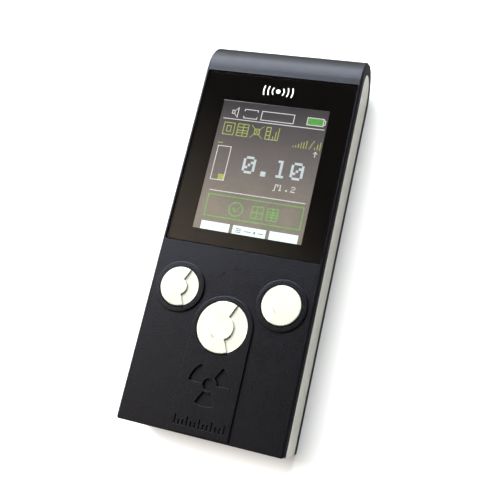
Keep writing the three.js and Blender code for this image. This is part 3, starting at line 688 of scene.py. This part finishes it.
def scale_marks():
    """A row of engraved graduations below the trefoil, long ones between short ones."""
    cutters = []
    for i in range(SCALE.count):
        x = (i - (SCALE.count - 1) / 2) * SCALE.pitch
        tall = SCALE.long if i % 3 == 0 else SCALE.short
        slot = rectangle(x - SCALE.half, x + SCALE.half, SCALE.y, SCALE.y + tall, 0.2, 3)
        cutters.append(hole(slot, RAISED - SCALE.depth, RAISED, 0.04))
    return cutters


def front_shell(material):
    """The front half with its raised strip and rings, and everything cut into it."""
    shell = cut(case_half("front_shell_fine", True), [hollow(SEAM - OVER, FACE), *band_seats()])
    under = FACE_IN + 0.2
    raised = [(under, 0), (RAISED, 0), (RAISED, -1.2)]
    rim = eased(raised, 0.22, 5)
    parts = [stack("strip", strip_outline(), rim)]
    for key in ("left", "right"):
        parts.append(stack("ring", circle(*key_place(key), SIDE_RING_R), rim))
    holes = []
    for key, r in KEY_R.items():
        holes.append(hole(circle(*key_place(key), r + KEY_GAP), SEAM + 1, RAISED, 0.12))
    bores = []
    for x, y, _ in screw_places():
        parts.append(block("boss", circle(x, y, BOSS.r, 32), SEAM, under))
        bores.append(block("cutter", circle(x, y, SHANK_BORE, 24), SEAM - 1, FACE_IN - 2.9))
    seat_x = PANE_HIGH.x + PANE_GAP
    seat = rectangle(-seat_x, seat_x, PANE_LOW.y - 0.17, PANE_HIGH.y + 0.18, 0.5)
    opening = rectangle(-APERTURE.x, APERTURE.x, APERTURE.y0, APERTURE.y1, 0.4)
    tools = [hole(seat, PANE_SEAT_Z, FACE, 0.07), block("cutter", opening, SEAM + 1, FACE + 1)]
    tools += [usb_mouth(), *trefoil_cutters(), *scale_marks()]
    cut(join(shell, parts), [*holes, *bores, *tools])
    return dressed(shell, material, "shell", "front_shell")


def usb_mouth():
    """The opening for the socket at the tail, flared outwards."""
    gap = 0.2
    outline = rectangle(USB_LOW.x - gap, USB_HIGH.x + gap, SEAM - 1, USB_HIGH.z + gap, 0.4)
    flared = [(-TAIL - OVER * 2.5, 0), (-TAIL - 0.15, 0), (-TAIL + OVER, OVER + 0.15)]
    return stack("cutter", outline, flared, backwards)


def slot_row(row, x, y, levels):
    """Cutters for a row of slots with rounded ends. The first one's near side is at y."""
    cutters = []
    for i in range(row.count):
        y0 = y + i * row.pitch
        y1 = y0 + row.wide
        corner_r = row.wide / 2 - 0.02
        slot = rectangle(x - row.half, x + row.half, y0, y1, corner_r, row.steps)
        cutters.append(stack("cutter", slot, levels))
    return cutters


def sound_holes():
    """A round hole under the buzzer with six more about it."""
    x, y = centre("buzzer").xy
    levels = [(-OVER, OVER + 0.1), (0.1, 0), (2, 0)]
    places = [(x, y), *circle(x, y, SOUND_HOLE.ring, 6)]
    return [stack("cutter", circle(*place, SOUND_HOLE.r, 24), levels) for place in places]


def bay_walls():
    """Battery bay walls, the floor beside the bay and the cover's end stop. Each runs into its
    neighbours a little, so that they join."""
    into = 0.3
    left = BAY.x0 - 1.0
    right = INNER_X + into
    right_above = INNER_X - 0.15
    tail_end = TAIL_IN - into
    tail_wall = BAY.y0 - BAY.wall
    nose_wall = BAY.y1 + BAY.wall
    stop = nose_wall + BAY.stop
    floor_top = 3.0
    spans = [
        (left - 0.8, BAY.x0, tail_end, stop, 0.2, floor_top),
        (left, BAY.x0, tail_wall, nose_wall, 1.0, BAY.top),
        (left, right, tail_wall, BAY.y0, SLOT.z2, SEAM),
        (left, right, BAY.y1, nose_wall, SLOT.z2, SEAM),
        (left, right_above, tail_wall, BAY.y0, SEAM - 1, BAY.top),
        (left, right_above, BAY.y1, nose_wall, SEAM - 1, BAY.top),
        (left, right, tail_end, tail_wall + 0.1, SLOT.z2, floor_top),
        (left, right, nose_wall - 0.1, stop, 0.2, 2.6),
    ]
    return [box("wall", *span) for span in spans]


def cover_slot():
    """Cutters for the cover's opening, the undercut for its tongues, and the way into the bay."""
    x0, x1, z1, z2 = SLOT.x0, SLOT.x1, SLOT.z1, SLOT.z2
    y0, y1 = TAIL - OVER, SLOT.y1
    mouth = [(-OVER, OVER + 0.08), (0.08, 0), (z1 + 0.1, 0)]
    return [
        stack("cutter", rectangle(x0, x1, y0, y1), mouth),
        box("cutter", x0 - SLOT.tongue, x1 + SLOT.tongue, y0, y1, z1, z2),
        box("cutter", BAY.x0, BAY.x1, BAY.y0, BAY.y1, z1, z2 + 0.5),
    ]


def rear_shell(material):
    """The back half with the battery bay, the screw posts and the openings in the back."""
    shell = cut(case_half("rear_shell_fine", False), [hollow(0, SEAM + OVER)])
    parts = bay_walls()
    bores = []
    for x, y, head in screw_places():
        buried = x > 0 > y
        foot = SLOT.z2 if buried else 0.2
        foot_top = BOSS.foot_top + (0.6 if buried else 0)
        parts.append(block("post", circle(x, y, BOSS.r, 32), foot, SEAM))
        parts.append(block("post", circle(x, y, BOSS.foot, 32), foot, foot_top))
        well = [(-OVER, OVER + 0.1), (0.1, 0), (head + 1.3, 0)]
        bores.append(stack("cutter", circle(x, y, SCREW_BORE, 48), well))
        bores.append(block("cutter", circle(x, y, SHANK_BORE, 24), -1, SEAM + 1))
    join(shell, parts)
    vents = slot_row(VENT, TUBE_X, VENT.y, [(-OVER, OVER + 0.12), (0.12, 0), (2, 0)])
    cut(shell, [*band_seats(), *cover_slot(), *bores, *vents, *sound_holes()])
    return dressed(shell, material, "shell", "rear_shell")


def side_band(side, material):
    """A pale insert flush with the case's side: side is 1 for the right one and -1 for the left."""
    name = "side_band_right" if side > 0 else "side_band_left"
    outline = band_outline(BAND_R, TAIL + 0.02)
    rim = [(BAND_LOW.x, -0.2), (BAND_LOW.x, 0), (HALF_W, 0), (HALF_W, -0.3)]
    levels = [(side * x, g) for x, g in eased(rim, 0.28, 5)]
    piece = stack(name + "_fine", outline, levels, across)
    return dressed(piece, material, "band", name)


def battery_cover(material):
    """A T-section plate that slides in from the tail, with grip grooves and an arrow."""
    x0, x1 = COVER_LOW.x + COVER_TONGUE, COVER_HIGH.x - COVER_TONGUE
    middle = (x0 + x1) / 2
    levels = [(0, -0.06), (0.06, 0), (COVER_LIP + 0.1, 0)]
    plate = stack("battery_cover_fine", rectangle(x0, x1, TAIL, COVER_HIGH.y), levels)
    tongues = box("tongue", COVER_LOW.x, COVER_HIGH.x, TAIL + 0.6, COVER_HIGH.y, COVER_LIP, COVER_HIGH.z)
    join(plate, [tongues])
    levels = [(-OVER, OVER + 0.1), (0.1, 0), (0.35, -0.12)]
    cutters = slot_row(GRIP, middle, TAIL + GRIP.from_tail, levels)
    tip, base = TAIL + ARROW.tip, TAIL + ARROW.base
    arrow = [(middle, tip), (middle + ARROW.half, base), (middle - ARROW.half, base)]
    cutters.append(stack("cutter", soften(arrow, 0.25), [(-OVER, OVER), (0.05, 0), (0.35, -0.1)]))
    cut(plate, cutters)
    return dressed(plate, material, "shell", "battery_cover", body="battery_cover")


# ---- display

# The display is 128 dots wide and 160 high. Dots are counted from its top left corner.
DOTS_X = 128
DOTS_Y = 160
FIELD = Sizes(x0=-14.65, x1=14.65, y0=-1.63, y1=34.53)
DOT_W = (FIELD.x1 - FIELD.x0) / DOTS_X
DOT_H = (FIELD.y1 - FIELD.y0) / DOTS_Y
LCD_LOW, LCD_HIGH = corners("lcd_panel")
FIELD_TOP = LCD_HIGH.z + 0.02
DOTS_TOP = FIELD_TOP + 0.02

DIGITS = {
    "0": (".###.", "#...#", "#..##", "#.#.#", "##..#", "#...#", ".###."),
    "1": (".##..", "..#..", "..#..", "..#..", "..#..", "..#..", ".###."),
    "2": (".###.", "#...#", "....#", "..##.", ".#...", "#....", "#####"),
}


def filled(i, j, width, height):
    """The dots of a rectangle whose top left dot is column i, row j."""
    return {(a, b) for a in range(i, i + width) for b in range(j, j + height)}


def framed(i, j, width, height):
    return filled(i, j, width, height) - filled(i + 1, j + 1, width - 2, height - 2)


def digit(sign, i, j, size):
    """The dots of a digit, each mark of its pattern size dots square."""
    cells = set()
    for row, line in enumerate(DIGITS[sign]):
        for column, mark in enumerate(line):
            if mark == "#":
                cells |= filled(i + column * size, j + row * size, size, size)
    return cells


def ring(i, j, radius):
    """A circle one dot thick."""
    reach = range(-radius - 1, radius + 2)
    return {(i + a, j + b) for a in reach for b in reach if abs(math.hypot(a, b) - radius) < 0.55}


def stroke(i0, j0, i1, j1):
    """A straight line one dot thick."""
    steps = max(abs(i1 - i0), abs(j1 - j0), 1)
    shares = [s / steps for s in range(steps + 1)]
    return {(round(i0 + (i1 - i0) * s), round(j0 + (j1 - j0) * s)) for s in shares}


def rungs(i, j, width, height, count):
    """A small frame with level bars inside it."""
    cells = framed(i, j, width, height)
    for k in range(1, count + 1):
        cells |= filled(i, j + round(k * (height - 1) / (count + 1)), width, 1)
    return cells


def rising_bars(i, j, count, pitch, height):
    """Upright bars on one foot line, each taller than the last."""
    cells = set()
    for k in range(count):
        tall = round(height * (k + 1) / count)
        cells |= filled(i + k * pitch, j + height - tall, 1, tall)
    return cells


def white_dots():
    """Rules, frames, the battery's outline, the loudspeaker, the arrow and the small reading."""
    cells = filled(4, 22, 122, 1) | filled(9, 112, 114, 1) | framed(49, 8, 40, 12)
    cells |= framed(28, 8, 17, 12) - filled(28, 11, 1, 6) - filled(44, 11, 1, 6)
    cells |= framed(6, 57, 17, 43) | framed(104, 9, 20, 10) | framed(123, 11, 3, 6)
    cells |= framed(13, 11, 4, 5) | stroke(17, 10, 20, 7) | stroke(17, 16, 20, 19) | filled(20, 7, 1, 13)
    cells |= stroke(121, 50, 121, 56) | stroke(121, 50, 119, 52) | stroke(121, 50, 123, 52)
    cells |= digit("1", 88, 95, 1) | filled(97, 100, 2, 2) | digit("2", 103, 95, 1)
    cells |= filled(82, 102, 3, 1) | filled(84, 95, 1, 8) | filled(84, 95, 4, 1) | filled(87, 95, 1, 3)
    return cells


def reading_dots():
    return digit("0", 41, 66, 3) | filled(64, 82, 6, 6) | digit("1", 79, 66, 3) | digit("0", 98, 66, 3)


def tab_dots():
    """Three soft-key tabs. The middle one carries dark dashes."""
    return filled(9, 150, 34, 10) | filled(47, 150, 39, 10) | filled(90, 150, 33, 10)


def dash_dots():
    cells = filled(51, 153, 6, 1) | filled(51, 155, 6, 1) | filled(51, 157, 6, 1)
    return cells | filled(61, 155, 8, 1) | filled(72, 154, 2, 3) | filled(77, 155, 6, 1)


def yellow_dots():
    """Row of four tile signs, a unit sign made of bars, and the short bar of the gauge."""
    cells = framed(7, 27, 14, 16) | framed(11, 31, 6, 8)
    cells |= rungs(24, 27, 14, 16, 3) | filled(31, 27, 1, 16)
    cells |= stroke(41, 27, 55, 42) | stroke(55, 27, 41, 42) | framed(45, 31, 7, 8)
    cells |= rungs(59, 27, 6, 16, 2) | rising_bars(68, 27, 3, 3, 16) | filled(59, 42, 15, 1)
    cells |= rising_bars(94, 38, 6, 3, 10) | stroke(113, 47, 117, 37) | rising_bars(119, 38, 3, 3, 10)
    return cells | filled(15, 92, 7, 7) | filled(5, 53, 6, 1)


def green_dots():
    """Status frame with a ring, a tick in it and two tile signs."""
    cells = framed(9, 117, 114, 27) | ring(45, 131, 8)
    cells |= stroke(41, 130, 44, 134) | stroke(44, 134, 50, 127) | stroke(42, 130, 44, 133)
    cells |= rungs(64, 124, 14, 15, 1) | filled(70, 124, 1, 15)
    return cells | rungs(82, 124, 13, 15, 3) | filled(88, 124, 1, 15)


def dot_slab(name, cells):
    """One thin slab over all the lit dots, with walls only where the lit area ends."""
    mesh = bmesh.new()
    made = {}

    def corner(i, j, z):
        if (i, j, z) not in made:
            place = (FIELD.x0 + i * DOT_W, FIELD.y1 - j * DOT_H, z)
            made[i, j, z] = mesh.verts.new(place)
        return made[i, j, z]

    low, high = FIELD_TOP, DOTS_TOP
    for i, j in sorted(cells):
        square = [(i, j), (i + 1, j), (i + 1, j + 1), (i, j + 1)]
        mesh.faces.new([corner(a, b, high) for a, b in square[::-1]])
        mesh.faces.new([corner(a, b, low) for a, b in square])
        beside = [(i, j - 1), (i + 1, j), (i, j + 1), (i - 1, j)]
        for k, other in enumerate(beside):
            if other not in cells:
                a, b = square[k], square[(k + 1) % 4]
                mesh.faces.new([corner(*a, low), corner(*b, low), corner(*b, high), corner(*a, high)])
    return make(name, mesh)


def display():
    """The window and its print, the panel behind it and all that the panel shows. Returns the window."""
    outline = plan(PANE_LOW, PANE_HIGH, 0, 0.5, 8)
    pane = block("window_acrylic", outline, PANE_LOW.z, PANE_HIGH.z, 0.12)
    dressed(pane, clear_acrylic(), "window", "display_window")

    sheet = plan(PANE_LOW, PANE_HIGH, 0.25, 0.4, 6)
    mask = block("window_print", sheet, PANE_LOW.z - 0.028, PANE_LOW.z - 0.004)
    view = rectangle(FIELD.x0 - 0.25, FIELD.x1 + 0.25, FIELD.y0 - 0.3, FIELD.y1 + 0.35, 0.3)
    cut(mask, [block("cutter", view, PANE_LOW.z - 1, PANE_LOW.z + 1)])
    dressed(mask, black_print(), "window")

    panel = block("lcd_panel_fine", plan(LCD_LOW, LCD_HIGH, 0, 0.3), LCD_LOW.z, LCD_HIGH.z - 0.15, 0.05)
    film = rectangle(LCD_LOW.x + 0.3, LCD_HIGH.x - 0.3, LCD_LOW.y + 1.2, LCD_HIGH.y - 0.3, 0.2)
    join(panel, [block("film", film, LCD_HIGH.z - 0.2, LCD_HIGH.z, 0.02)])
    dark_glass = dull("lcd_glass", grey(0.012, 0.1), grey(0.02, 0.1), 0.3, 0.5, 0.001)
    dressed(panel, dark_glass, "lcd", "lcd_panel")

    area = rectangle(FIELD.x0, FIELD.x1, FIELD.y0, FIELD.y1)
    field = block("display_field", area, LCD_HIGH.z + 0.001, FIELD_TOP)
    dressed(field, display_field(), "lcd")

    looks = {
        "display_white": (white_dots(), (0.70, 0.74, 0.78, 1), (0.98, 1.00, 1.02, 1)),
        "display_reading": (reading_dots(), (0.62, 0.74, 0.79, 1), (0.79, 0.90, 0.95, 1)),
        "display_tabs": (tab_dots() - dash_dots(), (0.96, 1.26, 1.27, 1), (1.11, 1.42, 1.43, 1)),
        "display_yellow": (yellow_dots(), (0.42, 0.50, 0.15, 1), (0.64, 0.74, 0.28, 1)),
        "display_green": (green_dots(), (0.20, 0.52, 0.14, 1), (0.34, 0.76, 0.24, 1)),
        "display_battery": (filled(105, 10, 18, 8), (0.12, 0.39, 0.10, 1), (0.225, 0.59, 0.17, 1)),
    }
    for name, (cells, low, high) in looks.items():
        dressed(dot_slab(name, cells), lit(name, low, high), "lcd")
    # A painted highlight along the top edge of the display.
    strip = rectangle(FIELD.x0 - 0.1, FIELD.x1, FIELD.y1 + 0.06, FIELD.y1 + 0.22)
    rim = block("display_edge_highlight", strip, LCD_HIGH.z + 0.001, DOTS_TOP)
    dressed(rim, display_edge_highlight(), "lcd")
    return pane


def window_mark():
    """A white sign printed on the window above the display: a source and what it sends out."""
    z0, z1 = PANE_HIGH.z - 0.004, PANE_HIGH.z + 0.012
    x, y = 0.0, 38.2
    mark = block("window_mark", circle(x, y, 0.62, 40), z0, z1)
    half_line = 0.18
    others = []
    for middle in (0, 180):
        for radius, sweep in ((1.6, 38), (2.8, 27), (4.0, 20)):
            band = arc(x, y, radius + half_line, middle - sweep, middle + sweep, 20)
            band += arc(x, y, radius - half_line, middle + sweep, middle - sweep, 20)
            others.append(block("arc", soften(band, 0.12, 3), z0, z1))
    join(mark, others)
    return dressed(mark, white_ink(), "key")


# ---- keys

def key_step(key, side):
    """Cuts down one side of a key's top, outside its hub."""
    x, y = key_place(key)
    hub = KEY_R[key] * KEY_HUB_SHARE[key]
    middle = 0 if side > 0 else 180
    start, end = middle - KEY_SECTOR_HALF, middle + KEY_SECTOR_HALF
    outline = arc(x, y, KEY_R[key] + OVER, start, end, 40) + arc(x, y, hub, end, start, 32)
    levels = [(KEY_TOP - KEY_STEP, 0), (KEY_TOP - 0.05, 0), (KEY_TOP + 0.2, 0.25)]
    return stack("cutter", soften(outline, 0.2, 3), levels)


def key_cap(key, sides, material):
    """A key with its top stepped down on the given sides, a hidden flange and a nub underneath."""
    x, y = key_place(key)
    r = KEY_R[key]
    name = f"button_{key}"
    low, high = corners(name)
    flange = (high.x - low.x) / 2
    z0, z1 = KEY_FLANGE_Z
    profile = [(0, low.z), (KEY_NUB_R, low.z), (KEY_NUB_R, z0), (flange, z0), (flange, z1)]
    profile += [(r, z1), (r, high.z), (0, high.z)]
    cap = turned(name + "_fine", eased(profile, 0.28, 5), x, y, sides=2 * ROUND)
    cut(cap, [key_step(key, side) for side in sides])
    return dressed(cap, material, "key", name, body=name)


# ---- small parts

def screw(index, place, material):
    """A cross-head case screw, its head towards the back."""
    x, y, head = place
    name = f"case_screw_{index + 1}"
    top = corners(name)[1].z
    head_r, head_top, shank_r = 1.5, head + 1.2, 0.7
    profile = [(0, head), (head_r, head), (head_r, head_top), (shank_r, head_top)]
    profile += [(shank_r, top - 0.6), (0, top)]
    body = turned(name + "_fine", eased(profile, 0.22), x, y, sides=48)
    arm, half = 0.95, 0.24
    cross = []
    for across_x, across_y in ((arm, half), (half, arm)):
        slot = rectangle(x - across_x, x + across_x, y - across_y, y + across_y, 0.15, 3)
        cross.append(stack("cutter", slot, [(head - 1, 0.1), (head + 0.05, 0.05), (head + 0.7, -0.12)]))
    cut(body, cross)
    return dressed(body, material, "screw", name)


def usb_socket(material):
    """A pressed steel socket with rolled corners, opened at the tail, and its contact tongue."""
    x = (USB_LOW.x + USB_HIGH.x) / 2
    half = (USB_HIGH.x - USB_LOW.x) / 2
    skin = 0.35
    outer = rectangle(x - half, x + half, USB_LOW.z, USB_HIGH.z, 0.9, 6)
    shell = block("usb_connector_fine", outer, -USB_HIGH.y, -USB_LOW.y, 0.08, backwards)
    inner = rectangle(x - half + skin, x + half - skin, USB_LOW.z + skin, USB_HIGH.z - skin, 0.6, 6)
    levels = [(-USB_HIGH.y + 1.2, 0), (-USB_LOW.y - 0.1, 0), (-USB_LOW.y + OVER, 0.1 + OVER)]
    cut(shell, [stack("cutter", inner, levels, backwards)])
    low_z, high_z = USB_HIGH.z - 1.9, USB_HIGH.z - 1.2
    join(shell, [box("tongue", x - 2.2, x + 2.2, USB_LOW.y + 1.2, USB_HIGH.y - 1, low_z, high_z, 0.08)])
    return dressed(shell, material, "steel", "usb_connector")


def turned_size(name):
    """Radius and length of a round CAD node that lies along Y."""
    low, high = corners(name)
    return (high.x - low.x) / 2, high.y - low.y


def along_tube(name, profile, side, material, slot):
    """A turned piece on the Y axis of its CAD node, drawn from the end that side points away from."""
    low, high = corners(name)
    middle = (low + high) / 2
    start = low.y if side > 0 else high.y
    placed = [(radius, start + side * at) for radius, at in profile]
    body = turned(name + "_fine", placed, middle.x, 0, middle.z, along="y", sides=64)
    return dressed(body, material, slot, name)


def power_parts(nickel):
    """Two cells head to tail, each pressed by a conical spring."""
    for index, side in ((1, 1), (2, -1)):
        name = f"battery_{index}"
        r, length = turned_size(name)
        profile = [(0, 0), (3.2, 0), (3.2, 0.3), (r - 0.3, 0.3), (r, 0.7), (r, length - 1.3)]
        profile += [(r - 0.5, length - 0.8), (1.9, length - 0.8), (1.7, length), (0, length)]
        wrap = cell_wrap(f"cell_wrap_{index}", centre(name).y, side)
        along_tube(name, eased(profile, 0.2), side, wrap, "cell_label")

        x, _, z = centre(f"battery_spring_{index}")
        start = BAY.y0 + SPRING.off_wall if side > 0 else BAY.y1 - SPRING.off_wall
        path = []
        steps = 160
        for k in range(steps + 1):
            t = k / steps
            reach = SPRING.wide + (SPRING.narrow - SPRING.wide) * t
            turn = 2 * math.pi * SPRING.turns * t
            u, v = reach * math.cos(turn), reach * math.sin(turn)
            path.append((x + side * u, start + side * SPRING.rise * t, z + v))
        spring = wire(f"battery_spring_{index}_fine", path, SPRING.wire)
        dressed(spring, nickel, "nickel", f"battery_spring_{index}")


def sensor_parts(nickel):
    """The counting tube and its two terminal caps."""
    r, length = turned_size("geiger_tube")
    end = [(0, 0), (r - 0.5, 0), (r, 1), (r, 2.4), (r - 0.12, 2.6), (r, 2.8)]
    body = end + [(radius, length - at) for radius, at in end[::-1]]
    steel = metal("tube_steel", grey(0.5, 0.01), grey(0.38, 0.02), 0.26, 0.42, (1, 7, 1))
    along_tube("geiger_tube", eased(body, 0.3), 1, steel, "tube")
    for name, side in (("tube_cap_nose", 1), ("tube_cap_tail", -1)):
        r, length = turned_size(name)
        cap = [(0, 0), (r, 0), (r, length - 1.8), (r - 0.6, length - 1.2)]
        cap += [(1.4, length - 1.2), (1.4, length), (0, length)]
        along_tube(name, eased(cap, 0.2), side, nickel, "nickel")


def inner_parts(steel, nickel):
    """Gives every CAD node that stays its own finish."""
    card = dull("insulating_card", (0.5, 0.45, 0.34, 1), (0.6, 0.55, 0.42, 1), 0.7, 0.3)
    looks = {
        "window_adhesive": dull("foam_tape", grey(0.006), grey(0.012), 0.85, 0.12, 0.02),
        "lcd_frame": steel,
        "lcd_backlight": dull("diffuser_film", grey(0.75), grey(0.8), 0.5, 0.4, 0.002),
        "lcd_flex": dull("polyimide", (0.40, 0.15, 0.02, 1), (0.52, 0.22, 0.04, 1), 0.35, 0.5, 0.004),
        "flex_connector": dull("connector_resin", grey(0.6, 0.05), grey(0.68, 0.05), 0.5, 0.4),
        "main_board": circuit_board(),
        "hv_transformer": copper_coil(),
        "microcontroller": dull("chip_resin", grey(0.01), grey(0.018), 0.5, 0.15, 0.008),
        "crystal": steel,
        "buzzer": dull("buzzer_resin", grey(0.008), grey(0.016), 0.5, 0.2, 0.01),
        "battery_insulator": card,
    }
    sleeve = dull("capacitor_sleeve", (0.01, 0.025, 0.07, 1), (0.02, 0.04, 0.1, 1), 0.38, 0.5, 0.003)
    for i in (1, 2):
        looks[f"hv_capacitor_{i}"] = sleeve
    for i in range(1, 5):
        looks[f"contact_plate_{i}"] = nickel
    for name in ("tube_clip_nose", "tube_clip_tail"):
        looks[name] = nickel
    for key in KEY_R:
        looks[f"dome_{key}"] = steel
    for name, material in looks.items():
        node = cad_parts[name]
        node.data.materials.clear()
        node.data.materials.append(material)


# ---- stage

GLOW_WAY = (-0.56, -0.13, 0.82)


def aimed(thing, place, aim, roll=0.0):
    """Puts a lamp or the camera in its place and turns it towards aim."""
    thing.location = place
    thing.rotation_mode = "QUATERNION"
    turn = (Vector(aim) - Vector(place)).to_track_quat("-Z", "Y")
    thing.rotation_quaternion = turn @ Quaternion((0, 0, 1), math.radians(roll))
    return thing


def softbox(name, place, aim, width, height, radiance, colour):
    """A rectangular light of the given brightness per area. Lengths here are in metres."""
    data = bpy.data.lights.new(name, "AREA")
    data.shape = "RECTANGLE"
    data.size = width
    data.size_y = height
    data.energy = radiance * width * height * math.pi
    data.color = colour
    return aimed(added(name, data), place, aim)


def surroundings():
    """A dim room, darker overhead but for a soft warm glow, that a camera sees as white."""
    world = bpy.data.worlds.new("room")
    world.use_nodes = True
    bpy.context.scene.world = world
    w = Nodes(world.node_tree)
    smooth = {"interpolation_type": "SMOOTHSTEP"}
    way = w.node("TexCoord", {}).outputs["Generated"]
    split = w.node("SeparateXYZ", {0: way}).outputs
    overhead = w.span(split["Z"], 0.0, 0.85, 0.50, 0.07, **smooth)
    to_right = w.span(split["X"], 0.1, 0.8, 1.0, 0.35, **smooth)
    room = w.tree.nodes["Background"]
    w.feed(room, "Color", (0.95, 0.975, 1, 1))
    w.feed(room, "Strength", w.math("MULTIPLY", overhead, to_right))

    towards = w.node("VectorMath", {0: way, 1: GLOW_WAY}, operation="DOT_PRODUCT").outputs["Value"]
    strength = w.span(towards, 0.84, 0.99, 0.0, 1.32, **smooth)
    glow = w.node("Background", {"Color": (1, 0.86, 0.70, 1), "Strength": strength})
    both = w.node("AddShader", {0: room.outputs[0], 1: glow.outputs[0]})

    white = w.node("Background", {"Strength": 1.05})
    seen = w.node("LightPath", {}).outputs["Is Camera Ray"]
    pick = w.node("MixShader", {0: seen, 1: both.outputs[0], 2: white.outputs[0]})
    w.feed(w.tree.nodes["World Output"], 0, pick.outputs[0])


def floor():
    """A broad pale sheet just under the instrument."""
    mesh = bmesh.new()
    bmesh.ops.create_grid(mesh, x_segments=8, y_segments=8, size=4000)
    bmesh.ops.translate(mesh, vec=(0, 0, -0.02), verts=mesh.verts)
    sheet = make("floor", mesh)
    if sheet.data.polygons[0].normal.z < 0:
        sheet.data.flip_normals()
    sheet.data.materials.append(floor_finish())


def camera():
    """Above and to the right of the keys, looking back across the face."""
    data = bpy.data.cameras.new("camera")
    data.lens = 48.68
    data.shift_x = -0.05
    data.shift_y = -0.002
    data.clip_start = 0.01
    data.clip_end = 50
    place = Vector((50.26, -37.68, 177.42)) * MM
    aim = Vector((6.33, -2.14, 8.75)) * MM
    bpy.context.scene.camera = aimed(added("camera", data), place, aim, -39.81)


def stage():
    """View settings, room, floor and lamps. Returns the lamps."""
    view = bpy.context.scene.view_settings
    view.view_transform = "Standard"
    view.exposure = 0.35
    view.gamma = 0.85
    surroundings()
    floor()
    middle = (0, 0, 0.01)
    lamps = [softbox("back_light", (-0.30, 0.70, 0.56), middle, 1.15, 0.9, 8.1, (0.89, 0.94, 0.985))]
    lamps.append(softbox("left_light", (-0.70, 0.22, 0.66), middle, 0.5, 0.5, 2.8, (0.94, 0.96, 1)))
    return lamps


def keep_off(lamps, pieces):
    """The lamps light everything except these pieces, so that they do not glare."""
    for lamp in lamps:
        spared = bpy.data.collections.new(lamp.name + "_receivers")
        for piece in pieces:
            spared.objects.link(piece)
        for member in spared.collection_objects:
            member.light_linking.link_state = "EXCLUDE"
        lamp.light_linking.receiver_collection = spared


# ---- assembly

camera()
studio_lamps = stage()
charcoal_plastic = charcoal()
key_plastic = pale_plastic("key_plastic", (0.56, 0.565, 0.47, 1), (0.52, 0.525, 0.44, 1), 0.38, 0.5)
band_plastic = pale_plastic("band_plastic", (0.65, 0.64, 0.585, 1), (0.595, 0.585, 0.53, 1), 0.36, 0.48)
front_shell(charcoal_plastic)
rear_shell(charcoal_plastic)
left_band = side_band(-1, band_plastic)
side_band(1, band_plastic)
battery_cover(charcoal_plastic)
window = display()
keep_off(studio_lamps, [window, left_band])
window_mark()
key_cap("left", [1], key_plastic)
key_cap("right", [-1], key_plastic)
key_cap("centre", [1, -1], key_plastic)
bright_steel = metal("bright_steel", grey(0.62, 0.01), grey(0.45, 0.01), 0.2, 0.38, (1, 9, 1))
nickel_plate = metal("nickel_plate", grey(0.66, 0.05), grey(0.5, 0.06), 0.2, 0.34)
screw_zinc = metal("screw_zinc", grey(0.5, 0.01), grey(0.36, 0.01), 0.26, 0.42)
for index, place in enumerate(screw_places()):
    screw(index, place, screw_zinc)
usb_socket(bright_steel)
power_parts(nickel_plate)
sensor_parts(nickel_plate)
inner_parts(bright_steel, nickel_plate)
